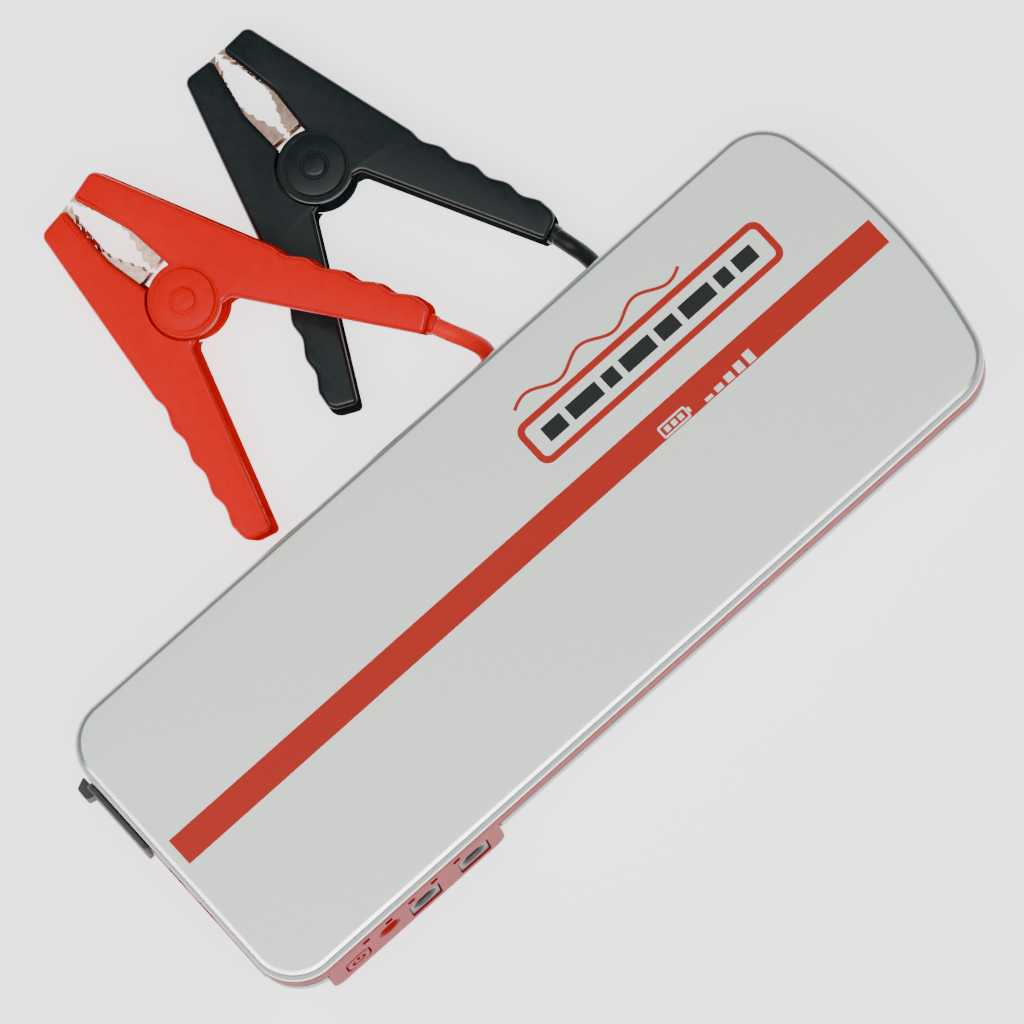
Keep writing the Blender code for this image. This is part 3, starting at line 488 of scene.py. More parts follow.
def pack_outline(inset, least_corner=4.0 * MM, corner_steps=16, end_steps=28):
    """The pack's plan outline, moved inwards by inset, always with the same number of points."""
    near = max(NEAR_CORNER - inset, least_corner)
    far = max(FAR_CORNER - inset, least_corner)
    side = WIDTH / 2 - inset
    back = -LENGTH / 2 + inset
    arc = END_ARC - inset
    arc_x = LENGTH / 2 - END_ARC
    far_y = side - far
    far_x = arc_x + sqrt((arc - far) ** 2 - far_y**2)
    tangent = asin(far_y / (arc - far))
    points = []
    for k in range(corner_steps + 1):
        a = pi + pi / 2 * k / corner_steps
        points.append((back + near + near * cos(a), -side + near + near * sin(a)))
    for k in range(corner_steps + 1):
        a = -pi / 2 + (pi / 2 - tangent) * k / corner_steps
        points.append((far_x + far * cos(a), -far_y + far * sin(a)))
    for k in range(1, end_steps):
        a = -tangent + 2 * tangent * k / end_steps
        points.append((arc_x + arc * cos(a), arc * sin(a)))
    for k in range(corner_steps + 1):
        a = tangent + (pi / 2 - tangent) * k / corner_steps
        points.append((far_x + far * cos(a), far_y + far * sin(a)))
    for k in range(corner_steps + 1):
        a = pi / 2 + pi / 2 * k / corner_steps
        points.append((back + near + near * cos(a), side - near + near * sin(a)))
    return points


def lofted(name, levels, finish):
    """A shell through the pack's outline at each of levels (height, inset), closed by a face at the
    last one, and given a wall's thickness inwards."""
    bm = bmesh.new()
    rings = []
    for height, inset in levels:
        rings.append([bm.verts.new((x, y, height)) for x, y in pack_outline(inset)])
    for lower, upper in zip(rings, rings[1:]):
        for k in range(len(lower)):
            after = (k + 1) % len(lower)
            bm.faces.new((lower[k], lower[after], upper[after], upper[k]))
    bm.faces.new(rings[-1])
    if levels[-1][0] < levels[0][0]:
        bmesh.ops.reverse_faces(bm, faces=bm.faces)
    mesh = bpy.data.meshes.new(name)
    bm.to_mesh(mesh)
    bm.free()
    made = add_object(name, mesh, finish)
    wall = made.modifiers.new("Wall", "SOLIDIFY")
    wall.thickness = WALL
    wall.offset = -1
    wall.use_even_offset = True
    return apply_all(made)


def arc_levels(z0, z1, inset, steps):
    """Levels for lofted, along a quarter of an ellipse from z0 to z1 that moves inwards by inset."""
    return [(z0 + (z1 - z0) * sin(pi / 2 * k / steps), inset * (1 - cos(pi / 2 * k / steps)))
            for k in range(steps + 1)]


# The rim of the top cover, rounded off in two near-flat bands: mm below the top, mm inwards
RIM_PROFILE = [(2.3, 0.0), (1.9, 0.01), (1.7, 0.05), (1.62, 0.09), (0.70, 0.58), (0.62, 0.63), (0.50, 0.73),
               (0.42, 0.85), (0.40, 0.91), (0.14, 1.62), (0.12, 1.68), (0.03, 1.98), (0.0, 2.3)]


def make_top_cover():
    """The cover, with its rim's steep band and bright line told apart by the faces' slope: a darker copy of
    the silver as painted shade, a brighter one as painted highlight.
    """
    low = [(COVER_LOW + 0.25 * MM, 0.25 * MM), (COVER_LOW + 0.35 * MM, 0.06 * MM),
           (COVER_LOW + 0.6 * MM, 0.0)]
    rim = [(SKIN_TOP - below * MM, inset * MM) for below, inset in RIM_PROFILE]
    cover = lofted("cover_skin", [(COVER_LOW, 0.3 * MM)] + low + rim, SILVER)
    cover.data.materials.append(RIM_PAINTED_SHADE)
    cover.data.materials.append(RIM_PAINTED_HIGHLIGHT)
    # Painted shade on the rim's steep faces, painted highlight on its near-flat band, chosen by each face's
    # slope
    for face in cover.data.polygons:
        if face.center.z > rim[0][0] - 0.5 * MM and face.normal.z < 0.7:
            face.material_index = 1
        elif face.center.z > rim[0][0] and 0.7 < face.normal.z < 0.95:
            face.material_index = 2
    finish_piece(cover, "pack", "silver_paint", "top_cover", angle=COVER_CORNER_ANGLE)


def make_bottom_cover():
    """The hull, with room for the port blocks and a recess for each screw."""
    levels = [(HULL_HIGH, 0.25 * MM), (HULL_HIGH - 0.25 * MM, 0.05 * MM)]
    levels += arc_levels(HULL_HIGH - 0.5 * MM, 0.0, HULL_INSET, 18)
    cover = lofted("hull_skin", levels, HULL)
    reach = BLOCK_DEEP + 0.4 * MM
    gap = 0.4 * MM
    long_notch = box("long_notch", (BLOCK_X0 - gap, -WIDTH / 2 - 5 * MM, -5 * MM),
                     (BLOCK_X1 + gap, -WIDTH / 2 + reach, HULL_HIGH + 5 * MM))
    end_notch = box("end_notch", (-LENGTH / 2 - 5 * MM, END_Y0 - gap, -5 * MM),
                    (-LENGTH / 2 + reach, END_Y1 + gap, HULL_HIGH + 5 * MM))
    cut(cover, long_notch, end_notch)
    recess = [(0, 2.6 * MM), (1.3 * MM, 2.1 * MM), (5 * MM, 2.1 * MM)]
    for x in SCREW_XS:
        for y in SCREW_YS:
            cut(cover, turned("recess", (x, y, -MM), (x, y, 0), recess, sides=32))
    finish_piece(cover, "pack", "silver_paint", "bottom_cover", angle=COVER_CORNER_ANGLE)


def block_outline(a0, a1):
    """The front of a port block, in (along, height), with rounded lower corners."""
    top = FRAME_LOW + 1.0 * MM
    return rounded([(a0, BLOCK_FOOT, BLOCK_FOOT_R), (a1, BLOCK_FOOT, BLOCK_FOOT_R), (a1, top, 0),
                    (a0, top, 0)], 8)


def make_side_frame():
    """The red band and both port blocks in one piece, hollow, with a window for each port."""
    ring = plate("frame_skin", pack_outline(FRAME_INSET), FRAME_LOW, FRAME_HIGH, RED, 0.35 * MM)
    long_block = upright_plate("long_block", block_outline(BLOCK_X0, BLOCK_X1), SIDE, BLOCK_DEEP, "-Y",
                               RED, 0.4 * MM)
    end_block = upright_plate("end_block", block_outline(END_Y0, END_Y1), END, BLOCK_DEEP, "-X", RED,
                              0.4 * MM)
    join(ring, long_block, end_block)
    wall = 2.4 * MM
    thin = 1.5 * MM
    inner = plate("inner", pack_outline(FRAME_INSET + wall), FRAME_LOW - MM, FRAME_HIGH + MM)
    long_room = box("long_room", (BLOCK_X0 + thin, SIDE + wall, BLOCK_FOOT + thin),
                    (BLOCK_X1 - thin, SIDE + BLOCK_DEEP + 5 * MM, FRAME_HIGH + 2 * MM))
    end_room = box("end_room", (END + wall, END_Y0 + thin, BLOCK_FOOT + thin),
                   (END + BLOCK_DEEP + 5 * MM, END_Y1 - thin, FRAME_HIGH + 2 * MM))
    cut(ring, inner, long_room, end_room)
    out = 3 * MM
    deep = wall + 2 * out
    button_hole = rounded_rect(BUTTON_X, BUTTON_Z, BUTTON_W + 0.9 * MM, BUTTON_H + 0.9 * MM, 2.6 * MM)
    tools = [upright_plate("button_hole", button_hole, SIDE - out, deep, "-Y")]
    tools.append(turned("torch_hole", (TORCH_X, SIDE - out, TORCH_Z), (TORCH_X, SIDE, TORCH_Z),
                        [(0, TORCH_R + 3.6 * MM), (out + 0.7 * MM, TORCH_R), (deep, TORCH_R)]))
    for x in JACK_XS:
        window = rounded_rect(x, JACK_Z, JACK_W, JACK_H, 0.8 * MM)
        tools.append(upright_plate("jack_window", window, SIDE - out, deep, "-Y"))
    for y in USB_YS:
        window = rounded_rect(y, USB_Z, USB_W + 1.0 * MM, USB_H + 1.0 * MM, 0.8 * MM)
        tools.append(upright_plate("usb_window", window, END - out, deep, "-X"))
    window = rounded_rect(SOCKET_Y, SOCKET_Z, 18.4 * MM, 10.4 * MM, 2.0 * MM)
    tools.append(upright_plate("socket_window", window, END - out, deep, "-X"))
    cut(ring, *tools)
    finish_piece(ring, "pack", "red_plastic", "side_frame", angle=40)


def make_seam():
    """The dark line between the top cover and the frame: a darker red band on the frame's top edge, painted
    shade of the seam.
    """
    seam = plate("seam_painted_shade", [pack_outline(FRAME_INSET - 0.02 * MM), pack_outline(FRAME_INSET + 0.6 * MM)],
                 FRAME_HIGH - 1.1 * MM, FRAME_HIGH + 0.02 * MM, PRINT_AND_SHADE_RED)
    finish_piece(seam, "pack", "red_plastic")


make_top_cover()
make_bottom_cover()
make_side_frame()
make_seam()


# ---------------------------------------------------------------- print on the top

def printed(name, outlines, finish, top=HEIGHT - 0.015 * MM):
    """A flat print on the top cover, 0.015 mm proud of it, or 0.03 mm where it lies over another."""
    made = plate(name, outlines, SKIN_TOP - 0.1 * MM, top, finish)
    return finish_piece(made, "pack", "silver_paint")


def mm(points):
    """Points given in millimetres, in metres."""
    return [(x * MM, y * MM) for x, y in points]


def rect(x0, x1, y0, y1):
    """A rectangle's outline, from millimetres."""
    return mm([(x0, y0), (x1, y0), (x1, y1), (x0, y1)])


def ribbon(points, half):
    """An outline that runs at half on each side of a line of points, from millimetres."""
    left = []
    right = []
    for k, (x, y) in enumerate(points):
        x0, y0 = points[max(0, k - 1)]
        x1, y1 = points[min(len(points) - 1, k + 1)]
        length = sqrt((x1 - x0) ** 2 + (y1 - y0) ** 2)
        nx, ny = -(y1 - y0) / length, (x1 - x0) / length
        left.append((x + nx * half, y + ny * half))
        right.append((x - nx * half, y - ny * half))
    return mm(left + right[::-1])


def make_bracket():
    """The bracket of the top's print, with a row of dark bars in it and a wave line beside it."""
    x, y = 52.8 * MM, 18.1 * MM
    width, height, line = 77.0 * MM, 12.4 * MM, 1.8 * MM
    inside = rounded_rect(x, y, width - 2 * line, height - 2 * line, 1.4 * MM)
    printed("bracket", [rounded_rect(x, y, width, height, 3.0 * MM), inside], PRINT_RED)
    bar_x, bar_gap = 19.5, 1.7
    for number, bar_width in enumerate((6.0, 9.5, 4.0, 9.5, 6.0, 9.5, 4.0, 6.0), 1):
        printed(f"bar_{number}", rect(bar_x, bar_x + bar_width, 16.0, 20.2), PRINT_DARK)
        bar_x += bar_width + bar_gap
    wave_x, wave_y, wave_length, wave_height = 18, 27.6, 52, 1.5
    waves, steps = 3, 60
    wave = [(wave_x + wave_length * k / steps, wave_y + wave_height * sin(2 * pi * waves * k / steps))
            for k in range(steps + 1)]
    printed("wave", ribbon(wave, 0.45), PRINT_RED)


def make_battery_sign():
    """A battery sign with three cells, and five level marks that grow, in white on the stripe."""
    x, y = 44.0 * MM, -0.3 * MM
    width, height, line = 8.4 * MM, 3.4 * MM, 0.5 * MM
    inner = rounded_rect(x, y, width - 2 * line, height - 2 * line, 0.3 * MM)
    printed("battery_sign", [rounded_rect(x, y, width, height, 0.6 * MM), inner], PRINT_WHITE, HEIGHT)
    printed("battery_sign_tip", rect(48.3, 49.0, -0.95, 0.35), PRINT_WHITE, HEIGHT)
    for number in range(3):
        x0 = 41.2 + 2.1 * number
        printed(f"battery_sign_cell_{number + 1}", rect(x0, x0 + 1.4, -1.0, 0.4), PRINT_WHITE, HEIGHT)
    for number in range(5):
        x0 = 53.0 + 3.4 * number
        printed(f"level_{number + 1}", rect(x0, x0 + 2.2, -1.9, -1.0 + 0.55 * number), PRINT_WHITE, HEIGHT)


printed("stripe", rect(-111.0, 110.8, -2.3, 5.3), PRINT_RED)
make_bracket()
make_battery_sign()


# ---------------------------------------------------------------- ports and controls

def button_sign(name, outline, front):
    """A part of the power sign, sunk into the button's front and a little proud of it."""
    made = upright_plate(name, outline, front - 0.03 * MM, 0.15 * MM, "-Y", PRINT_AND_SHADE_RED)
    return finish_piece(made, "button", "red_plastic")


def make_button():
    """The power button with its flange and sign, and the dark groove around it, whose darker red is painted
    shade.
    """
    front = SIDE - 0.1 * MM
    button = upright_plate("button_skin", rounded_rect(BUTTON_X, BUTTON_Z, BUTTON_W, BUTTON_H, BUTTON_R),
                           front, 3.0 * MM, "-Y", RED, 0.5 * MM)
    join(button, box("flange", (BUTTON_X - 5.2 * MM, front + 2.9 * MM, BUTTON_Z - 5.4 * MM),
                     (BUTTON_X + 5.2 * MM, front + 3.9 * MM, BUTTON_Z + 5.4 * MM)))
    finish_piece(button, "button", "red_plastic", "power_button", angle=40)
    steps = 30
    arcs = []
    for radius in (2.1 * MM, 1.35 * MM):
        turns = [radians(35 + 290 * k / steps) for k in range(steps + 1)]
        arcs.append([(BUTTON_X + radius * sin(a), BUTTON_Z + radius * cos(a)) for a in turns])
    button_sign("power_sign_ring", arcs[0] + arcs[1][::-1], front)
    button_sign("power_sign_line", rounded_rect(BUTTON_X, BUTTON_Z + 1.4 * MM, 0.8 * MM, 2.2 * MM,
                                                0.2 * MM, 3), front)
    # Painted shade: a darker red ring in the gap about the button
    groove_outer = rounded_rect(BUTTON_X, BUTTON_Z, BUTTON_W + 1.2 * MM, BUTTON_H + 1.2 * MM, 2.7 * MM)
    groove_inner = rounded_rect(BUTTON_X, BUTTON_Z, BUTTON_W + 0.3 * MM, BUTTON_H + 0.3 * MM, 2.4 * MM)
    groove = upright_plate("button_painted_shade_groove", [groove_outer, groove_inner], SIDE + 0.35 * MM, 1.6 * MM, "-Y",
                           PRINT_AND_SHADE_RED)
    finish_piece(groove, "pack", "red_plastic")


def make_torch():
    """The torch's lens, a shallow dome."""
    dome = [(0, 2.4 * MM), (1.8 * MM, 2.4 * MM), (2.0 * MM, 2.25 * MM), (2.1 * MM, 1.7 * MM),
            (2.18 * MM, 0.9 * MM), (2.2 * MM, 0.0)]
    lens = turned("torch_dome", (TORCH_X, SIDE + 2.2 * MM, TORCH_Z), (TORCH_X, SIDE, TORCH_Z), dome, LENS)
    finish_piece(lens, "pack", "lens", "torch_lens", angle=40)


def make_lamp_slots():
    """The row of small dark marks above the ports of the long block: darker red plates a hair proud of the
    face, painted shade standing in for slots.
    """
    for number in range(LAMP_SLOTS):
        mark = rounded_rect(LAMP_SLOT_X + LAMP_SLOT_PITCH * number, LAMP_SLOT_Z, 2.0 * MM, 2.3 * MM,
                            0.2 * MM, 3)
        slot = upright_plate(f"lamp_slot_{number + 1}", mark, SIDE - 0.02 * MM, 0.1 * MM, "-Y", PRINT_AND_SHADE_RED)
        finish_piece(slot, "pack", "red_plastic")


def make_jacks():
    """Each barrel jack: a square body, a sleeve in its bore, a floor, and a round pin."""
    half_w = JACK_W / 2 - JACK_GAP
    half_h = JACK_H / 2 - JACK_GAP
    for name, x in zip(("input_jack", "output_jack"), JACK_XS):
        body = box(f"{name}_body", (x - half_w, SIDE + 0.5 * MM, JACK_Z - half_h),
                   (x + half_w, SIDE + 10.0 * MM, JACK_Z + half_h), GREY, 0.2 * MM)
        bore = turned("bore", (x, SIDE, JACK_Z), (x, SIDE + MM, JACK_Z),
                      [(0, 3.7 * MM), (0.5 * MM, 3.5 * MM), (0.9 * MM, JACK_BORE), (9.0 * MM, JACK_BORE)])
        cut(body, bore)
        finish_piece(body, "pack", "dark_plastic", name)
        sleeve = plate(f"{name}_sleeve", [circle(x, JACK_Z, 3.22 * MM, 48), circle(x, JACK_Z, 2.75 * MM, 48)],
                       0.0, 7.0 * MM, DARK)
        upright(sleeve, SIDE + 1.3 * MM, "-Y")
        finish_piece(sleeve, "pack", "dark_plastic")
        floor = turned(f"{name}_floor", (x, SIDE + 9.4 * MM, JACK_Z), (x, SIDE, JACK_Z),
                       [(0, 3.2 * MM), (0.8 * MM, 3.2 * MM)], DARK)
        finish_piece(floor, "pack", "dark_plastic")
        pin = turned(f"{name}_pin", (x, SIDE + 8.6 * MM, JACK_Z), (x, SIDE, JACK_Z),
                     [(0, 1.0 * MM), (5.8 * MM, 1.0 * MM), (6.1 * MM, 0.8 * MM), (6.2 * MM, 0.0)], STEEL)
        finish_piece(pin, "pack", "port_steel")


def make_end_ports():
    """Each USB port: a steel shell, a tongue with four contacts, and a dark back."""
    for number, y in enumerate(USB_YS, 1):
        front = END + 0.9 * MM
        shell = upright_plate(f"usb_shell_{number}",
                              [rounded_rect(y, USB_Z, USB_W, USB_H, 0.5 * MM, 3),
                               rounded_rect(y, USB_Z, USB_W - 0.8 * MM, USB_H - 0.8 * MM, 0.3 * MM, 3)],
                              front, 10 * MM, "-X", STEEL)
        finish_piece(shell, "pack", "port_steel", f"usb_port_{number}")
        tongue = box(f"usb_tongue_{number}", (front + 1.0 * MM, y + 0.2 * MM, USB_Z - 5.2 * MM),
                     (front + 9.8 * MM, y + 1.9 * MM, USB_Z + 5.2 * MM), DARK, 0.15 * MM)
        finish_piece(tongue, "pack", "dark_plastic")
        back = box(f"usb_back_{number}", (front + 9.2 * MM, y - USB_W / 2 + 0.1 * MM, USB_Z - 6.1 * MM),
                   (front + 9.9 * MM, y + USB_W / 2 - 0.1 * MM, USB_Z + 6.1 * MM), DARK)
        finish_piece(back, "pack", "dark_plastic")
        for k in range(4):
            z = USB_Z - 3.5 * MM + k * 2.3 * MM
            contact = box(f"usb_contact_{number}_{k + 1}", (front + 1.4 * MM, y + 0.08 * MM, z - 0.5 * MM),
                          (front + 8.8 * MM, y + 0.3 * MM, z + 0.5 * MM), BRASS)
            finish_piece(contact, "pack", "contact_brass")


def make_cap():
    """The rubber cap: a plate over the socket, a pad that fills its window, and a ribbed pull tab."""
    outer = END - 0.3 * MM
    plate_outline = rounded_rect((CAP_Y0 + CAP_Y1) / 2, SOCKET_Z, CAP_Y1 - CAP_Y0, CAP_H, 2.4 * MM)
    cover = upright_plate("cap_skin", plate_outline, outer - CAP_THICK, CAP_THICK, "-X", RUBBER, 0.45 * MM)
    pad = upright_plate("pad", rounded_rect(SOCKET_Y, SOCKET_Z, 17.0 * MM, 9.0 * MM, 1.8 * MM),
                        outer - 0.4 * MM, 1.9 * MM, "-X", RUBBER)
    tab_outline = rounded([(0.0, CAP_Y1 - 2.6 * MM, 0), (-3.1 * MM, CAP_Y1 - 1.9 * MM, 0.8 * MM),
                           (-3.1 * MM, CAP_Y1 + 1.7 * MM, 0.8 * MM), (0.0, CAP_Y1 + 3.0 * MM, 0.4 * MM),
                           (0.0, CAP_Y1 - 1.5 * MM, 0)])
    tab = plate("tab", [(x + outer - 0.35 * MM, y) for x, y in tab_outline], SOCKET_Z - 2.6 * MM,
                SOCKET_Z + 2.6 * MM, RUBBER)
    join(cover, pad, tab)
    for k in range(3):
        z = SOCKET_Z - 1.5 * MM + k * 1.5 * MM
        cut(cover, box("rib", (outer - 6 * MM, CAP_Y1 - 1.2 * MM, z - 0.25 * MM),
                       (outer - 3.2 * MM, CAP_Y1 + MM, z + 0.25 * MM)))
    finish_piece(cover, "cap", "cap_rubber", "socket_cap", angle=40)


make_button()
make_torch()
make_lamp_slots()
make_jacks()
make_end_ports()
make_cap()


# ---------------------------------------------------------------- clamps

def back_u(v):
    """How far out a half's back lies at v along the clamp: straight to the jaws, steeper on the grip."""
    if v > GRIP_START:
        return BACK_AT_PIVOT - BACK_SLOPE * v
    return BACK_AT_PIVOT - BACK_SLOPE * GRIP_START + GRIP_SLOPE * (GRIP_START - v)


def half_outline(side):
    """The outline of one half; side is 1 for the lead's half, -1 for the other."""
    arc_steps = 8
    corners = [
        (1.7 * MM, JAW_TIP - 0.5 * MM, 1.0 * MM),
        (4.6 * MM, 21.0 * MM, 12 * MM),
        (4.0 * MM, 9.0 * MM, 1.0 * MM),
        (2.0 * MM, 4.0 * MM, 0),
        (2.0 * MM, -7.0 * MM, 0),
        (7.6 * MM, -8.4 * MM, 2.0 * MM),
        (29.6 * MM, HANDLE_END - 3.0 * MM, 1.4 * MM),
        (35.9 * MM, HANDLE_END, 3.2 * MM),
        (back_u(FIRST_WAVE), FIRST_WAVE, 0),
        (back_u(GRIP_START), GRIP_START, 0),
        (back_u(JAW_TIP), JAW_TIP, 2.4 * MM),
    ]
    outline = rounded(corners, arc_steps)
    tip_arc = outline[-arc_steps - 1:]
    outline = outline[:-arc_steps - 3]
    steps = WAVES * 16
    for k in range(steps + 1):
        v = FIRST_WAVE + (GRIP_START - FIRST_WAVE) * k / steps
        dip = WAVE_DEPTH / 2 * (1 - cos(2 * pi * WAVES * k / steps))
        outline.append((back_u(v) - dip, v))
    outline += tip_arc
    if side < 0:
        outline = [(-u, v) for u, v in reversed(outline)]
    return outline


def channel_outline(side, wall):
    """The hollow between a half's cheeks: from its back wall out past its open inner side."""
    tip = JAW_TIP - 3.0 * MM
    low = HANDLE_END + 2.7 * MM
    corners = [
        (back_u(tip) - wall, tip),
        (3.8 * MM, tip),
        (3.8 * MM, JAW_TIP + MM),
        (-6 * MM, JAW_TIP + MM),
        (-6 * MM, -8 * MM),
        (8 * MM, low - 3 * MM),
        (24.5 * MM, low - 4 * MM),
        (back_u(low) - wall - 1.6 * MM, low),
        (back_u(-16 * MM) - wall - 1.0 * MM, -16 * MM),
        (back_u(-9 * MM) - wall - 1.0 * MM, -9 * MM),
        (back_u(-6 * MM) - wall, -6 * MM),
    ]
    if side > 0:
        return corners[::-1]
    return [(-u, v) for u, v in corners]


def make_half(name, side, colour, has_outer_lugs):
    """One hollow half, with its lugs about the pivot: outer lugs with a ring groove, or inner ones."""
    half = plate(name, half_outline(side), -HALF_THICK, HALF_THICK, PLASTICS[colour], EDGE, 4)
    cut(half, plate("room", channel_outline(side, BACK_WALL), -CHEEK_IN, CHEEK_IN))
    if has_outer_lugs:
        mouth = Vector((EXIT_U, EXIT_V, 0))
        cut(half, rod("exit_hole", mouth - EXIT_AXIS * 8 * MM, mouth + EXIT_AXIS * 6 * MM,
                      EXIT_HOLE_R))
        for sign in (-1, 1):
            thick = HALF_THICK - LUG_STEP
            lug = turned("lug", (0, 0, sign * LUG_STEP), (0, 0, sign),
                         [(0, LUG_R), (thick - 0.4 * MM, LUG_R), (thick - 0.1 * MM, LUG_R - 0.15 * MM),
                          (thick, LUG_R - 0.4 * MM)], sides=72)
            join(half, lug)
        cut(half, rod("clear", (0, 0, -LUG_STEP), (0, 0, LUG_STEP), LUG_CLEAR_R, sides=72))
        ring_outlines = [circle(0, 0, RING_OUTER_R, 72), circle(0, 0, RING_INNER_R, 72)]
        for sign in (-1, 1):
            low, high = sorted((sign * (HALF_THICK - 0.3 * MM), sign * (HALF_THICK + MM)))
            cut(half, plate("ring", ring_outlines, low, high))
    else:
        cut(half, rod("clear", (0, 0, -HALF_THICK - MM), (0, 0, HALF_THICK + MM), LUG_CLEAR_R, sides=72))
        for sign in (-1, 1):
            low, high = sorted((sign * 2.2 * MM, sign * 3.3 * MM))
            lug = rod("lug", (0, 0, low), (0, 0, high), INNER_LUG_R, sides=64)
            arm_outline = [(0, -6 * MM), (side * 15 * MM, -9 * MM), (side * 14.5 * MM, 7 * MM), (0, 6 * MM)]
            join(lug, plate("arm", arm_outline[::side], low, high))
            join(half, lug)
    cut(half, rod("bore", (0, 0, -HALF_THICK - MM), (0, 0, HALF_THICK + MM), PIN_BORE, sides=32))
    half.data.materials.clear()
    for look in (PLASTICS[colour], EDGE_SHADE_PLASTICS[colour], WALL_SHADE_PLASTICS[colour]):
        half.data.materials.append(look)
    # Painted shade: side walls take the darker matt copy, rounded edges by the faces the darker glossy one
    for face in half.data.polygons:
        tilt = abs(face.normal.z)
        if tilt < 0.2:
            face.material_index = 2
        elif tilt < 0.97 and abs(face.center.z) > HALF_THICK - EDGE:
            face.material_index = 1
    return half


def make_disc(name, sign, finish):
    """A hub disc with a rounded edge and a shallow step about its bore."""
    low = HALF_THICK + DISC_GAP
    profile = [(0, PIN_BORE), (0, 7.5 * MM), (0.2 * MM, 7.6 * MM), (0.7 * MM, 7.6 * MM),
               (0.9 * MM, 7.45 * MM), (1.0 * MM, 7.2 * MM), (1.0 * MM, 3.6 * MM), (0.85 * MM, 3.4 * MM),
               (0.85 * MM, PIN_BORE), (0, PIN_BORE)]
    return turned(name, (0, 0, sign * low), (0, 0, sign), profile, finish, 72)


def make_pin(name, finish):
    """The pivot pin, with a slotted round head at each end."""
    reach = HALF_THICK + 1.3 * MM
    total = reach + 0.8 * MM
    profile = [(0, 2.2 * MM), (0.12 * MM, 2.6 * MM), (0.3 * MM, 2.9 * MM), (0.6 * MM, 2.9 * MM),
               (0.6 * MM, 1.5 * MM)]
    other = [(2 * total - along, radius) for along, radius in profile]
    pin = turned(name, (0, 0, -total), (0, 0, 1), profile + other[::-1], finish, 48)
    for sign in (-1, 1):
        slot = box("slot", (-2.0 * MM, -0.25 * MM, sign * total - 0.2 * MM),
                   (2.0 * MM, 0.25 * MM, sign * total + 0.2 * MM))
        cut(pin, slot)
    return pin


def clamp_place(pivot, heading, roll, roll_heading):
    """The matrix that lays a clamp made in its own frame where CLAMPS says."""
    lie = Matrix.Rotation(radians(heading - 90), 4, "Z")
    axis = Vector((cos(radians(roll_heading)), sin(radians(roll_heading)), 0))
    return Matrix.Translation(Vector(pivot) * MM) @ Matrix.Rotation(radians(roll), 4, axis) @ lie


def make_clamps():
    """Both clamps' plastic halves, hub discs and pins."""
    for colour, spec in CLAMPS.items():
        place = clamp_place(*spec)
        finish = PLASTICS[colour]
        slot_name = f"{colour}_clamp_plastic"
        fixed = make_half(f"{colour}_fixed_skin", 1, colour, True)
        moving = make_half(f"{colour}_moving_skin", -1, colour, False)
        upper = make_disc(f"{colour}_disc_top", 1, finish)
        lower = make_disc(f"{colour}_disc_under", -1, finish)
        pin = make_pin(f"{colour}_pin_capped", finish)
        for piece in (fixed, moving, upper, lower, pin):
            piece.data.transform(place)
        finish_piece(fixed, "pack", slot_name, f"{colour}_fixed_handle", angle=35)
        finish_piece(moving, f"{colour}_moving_half", slot_name, f"{colour}_moving_handle", angle=35)
        finish_piece(upper, "pack", slot_name, f"{colour}_hub_disc_upper", angle=35)
        finish_piece(lower, "pack", slot_name, f"{colour}_hub_disc_lower", angle=35)
        finish_piece(pin, "pack", slot_name, f"{colour}_pivot_pin", angle=35)


make_clamps()


# ---------------------------------------------------------------- leads

# Each lead's route after its strain relief, in mm: down beside the pack, then along it
ROUTES = {
    "red": [(22.3, 51.2, 17.2), (24.1, 48.2, 11.6), (23.4, 46.1, 6.2), (19.5, 45.0, 3.2),
            (12.0, 44.1, 2.3), (0.0, 43.9, 2.25), (-20.0, 43.8, 2.25), (-38.0, 44.3, 2.25),
            (-62.0, 46.2, 2.25), (-74.0, 46.0, 2.35), (-82.0, 45.4, 2.7)],
    "black": [(57.6, 50.6, 6.8), (58.0, 47.0, 3.7), (56.4, 43.2, 2.4), (51.5, 40.6, 2.25),
              (44.0, 39.6, 2.25), (30.0, 39.4, 2.25), (14.0, 39.1, 2.25), (-12.0, 38.9, 2.25),
              (-36.0, 39.3, 2.25), (-46.0, 40.1, 2.4), (-53.5, 40.2, 2.6)],
}


def smooth_line(points, per_part=8):
    """Points along a centripetal Catmull-Rom curve through points."""
    ends = [points[0] * 2 - points[1]] + points + [points[-1] * 2 - points[-2]]
    line = []
    for i in range(1, len(ends) - 2):
        p = ends[i - 1:i + 3]
        t = [0.0]
        for a, b in zip(p, p[1:]):
            t.append(t[-1] + sqrt((b - a).length))
        for k in range(per_part):
            u = t[1] + (t[2] - t[1]) * k / per_part
            a1 = p[0] * ((t[1] - u) / (t[1] - t[0])) + p[1] * ((u - t[0]) / (t[1] - t[0]))
            a2 = p[1] * ((t[2] - u) / (t[2] - t[1])) + p[2] * ((u - t[1]) / (t[2] - t[1]))
            a3 = p[2] * ((t[3] - u) / (t[3] - t[2])) + p[3] * ((u - t[2]) / (t[3] - t[2]))
            b1 = a1 * ((t[2] - u) / (t[2] - t[0])) + a2 * ((u - t[0]) / (t[2] - t[0]))
            b2 = a2 * ((t[3] - u) / (t[3] - t[1])) + a3 * ((u - t[1]) / (t[3] - t[1]))
            line.append(b1 * ((t[2] - u) / (t[2] - t[1])) + b2 * ((u - t[1]) / (t[2] - t[1])))
    line.append(points[-1])
    return line


def make_lead(colour, line):
    """The lead's round skin along a line of points."""
    data = bpy.data.curves.new(f"{colour}_lead_skin", "CURVE")
    data.dimensions = "3D"
    data.bevel_depth = LEAD_R
    data.bevel_resolution = 6
    data.use_fill_caps = True
    spline = data.splines.new("POLY")
    spline.points.add(len(line) - 1)
    for point, at in zip(spline.points, line):
        point.co = (*at, 1)
    spline.use_smooth = True
    lead = bpy.data.objects.new(f"{colour}_lead_skin", data)
    SHAPES.objects.link(lead)
    data.materials.append(LEADS[colour])
    return finish_piece(lead, "pack", f"{colour}_lead_rubber", f"{colour}_lead")


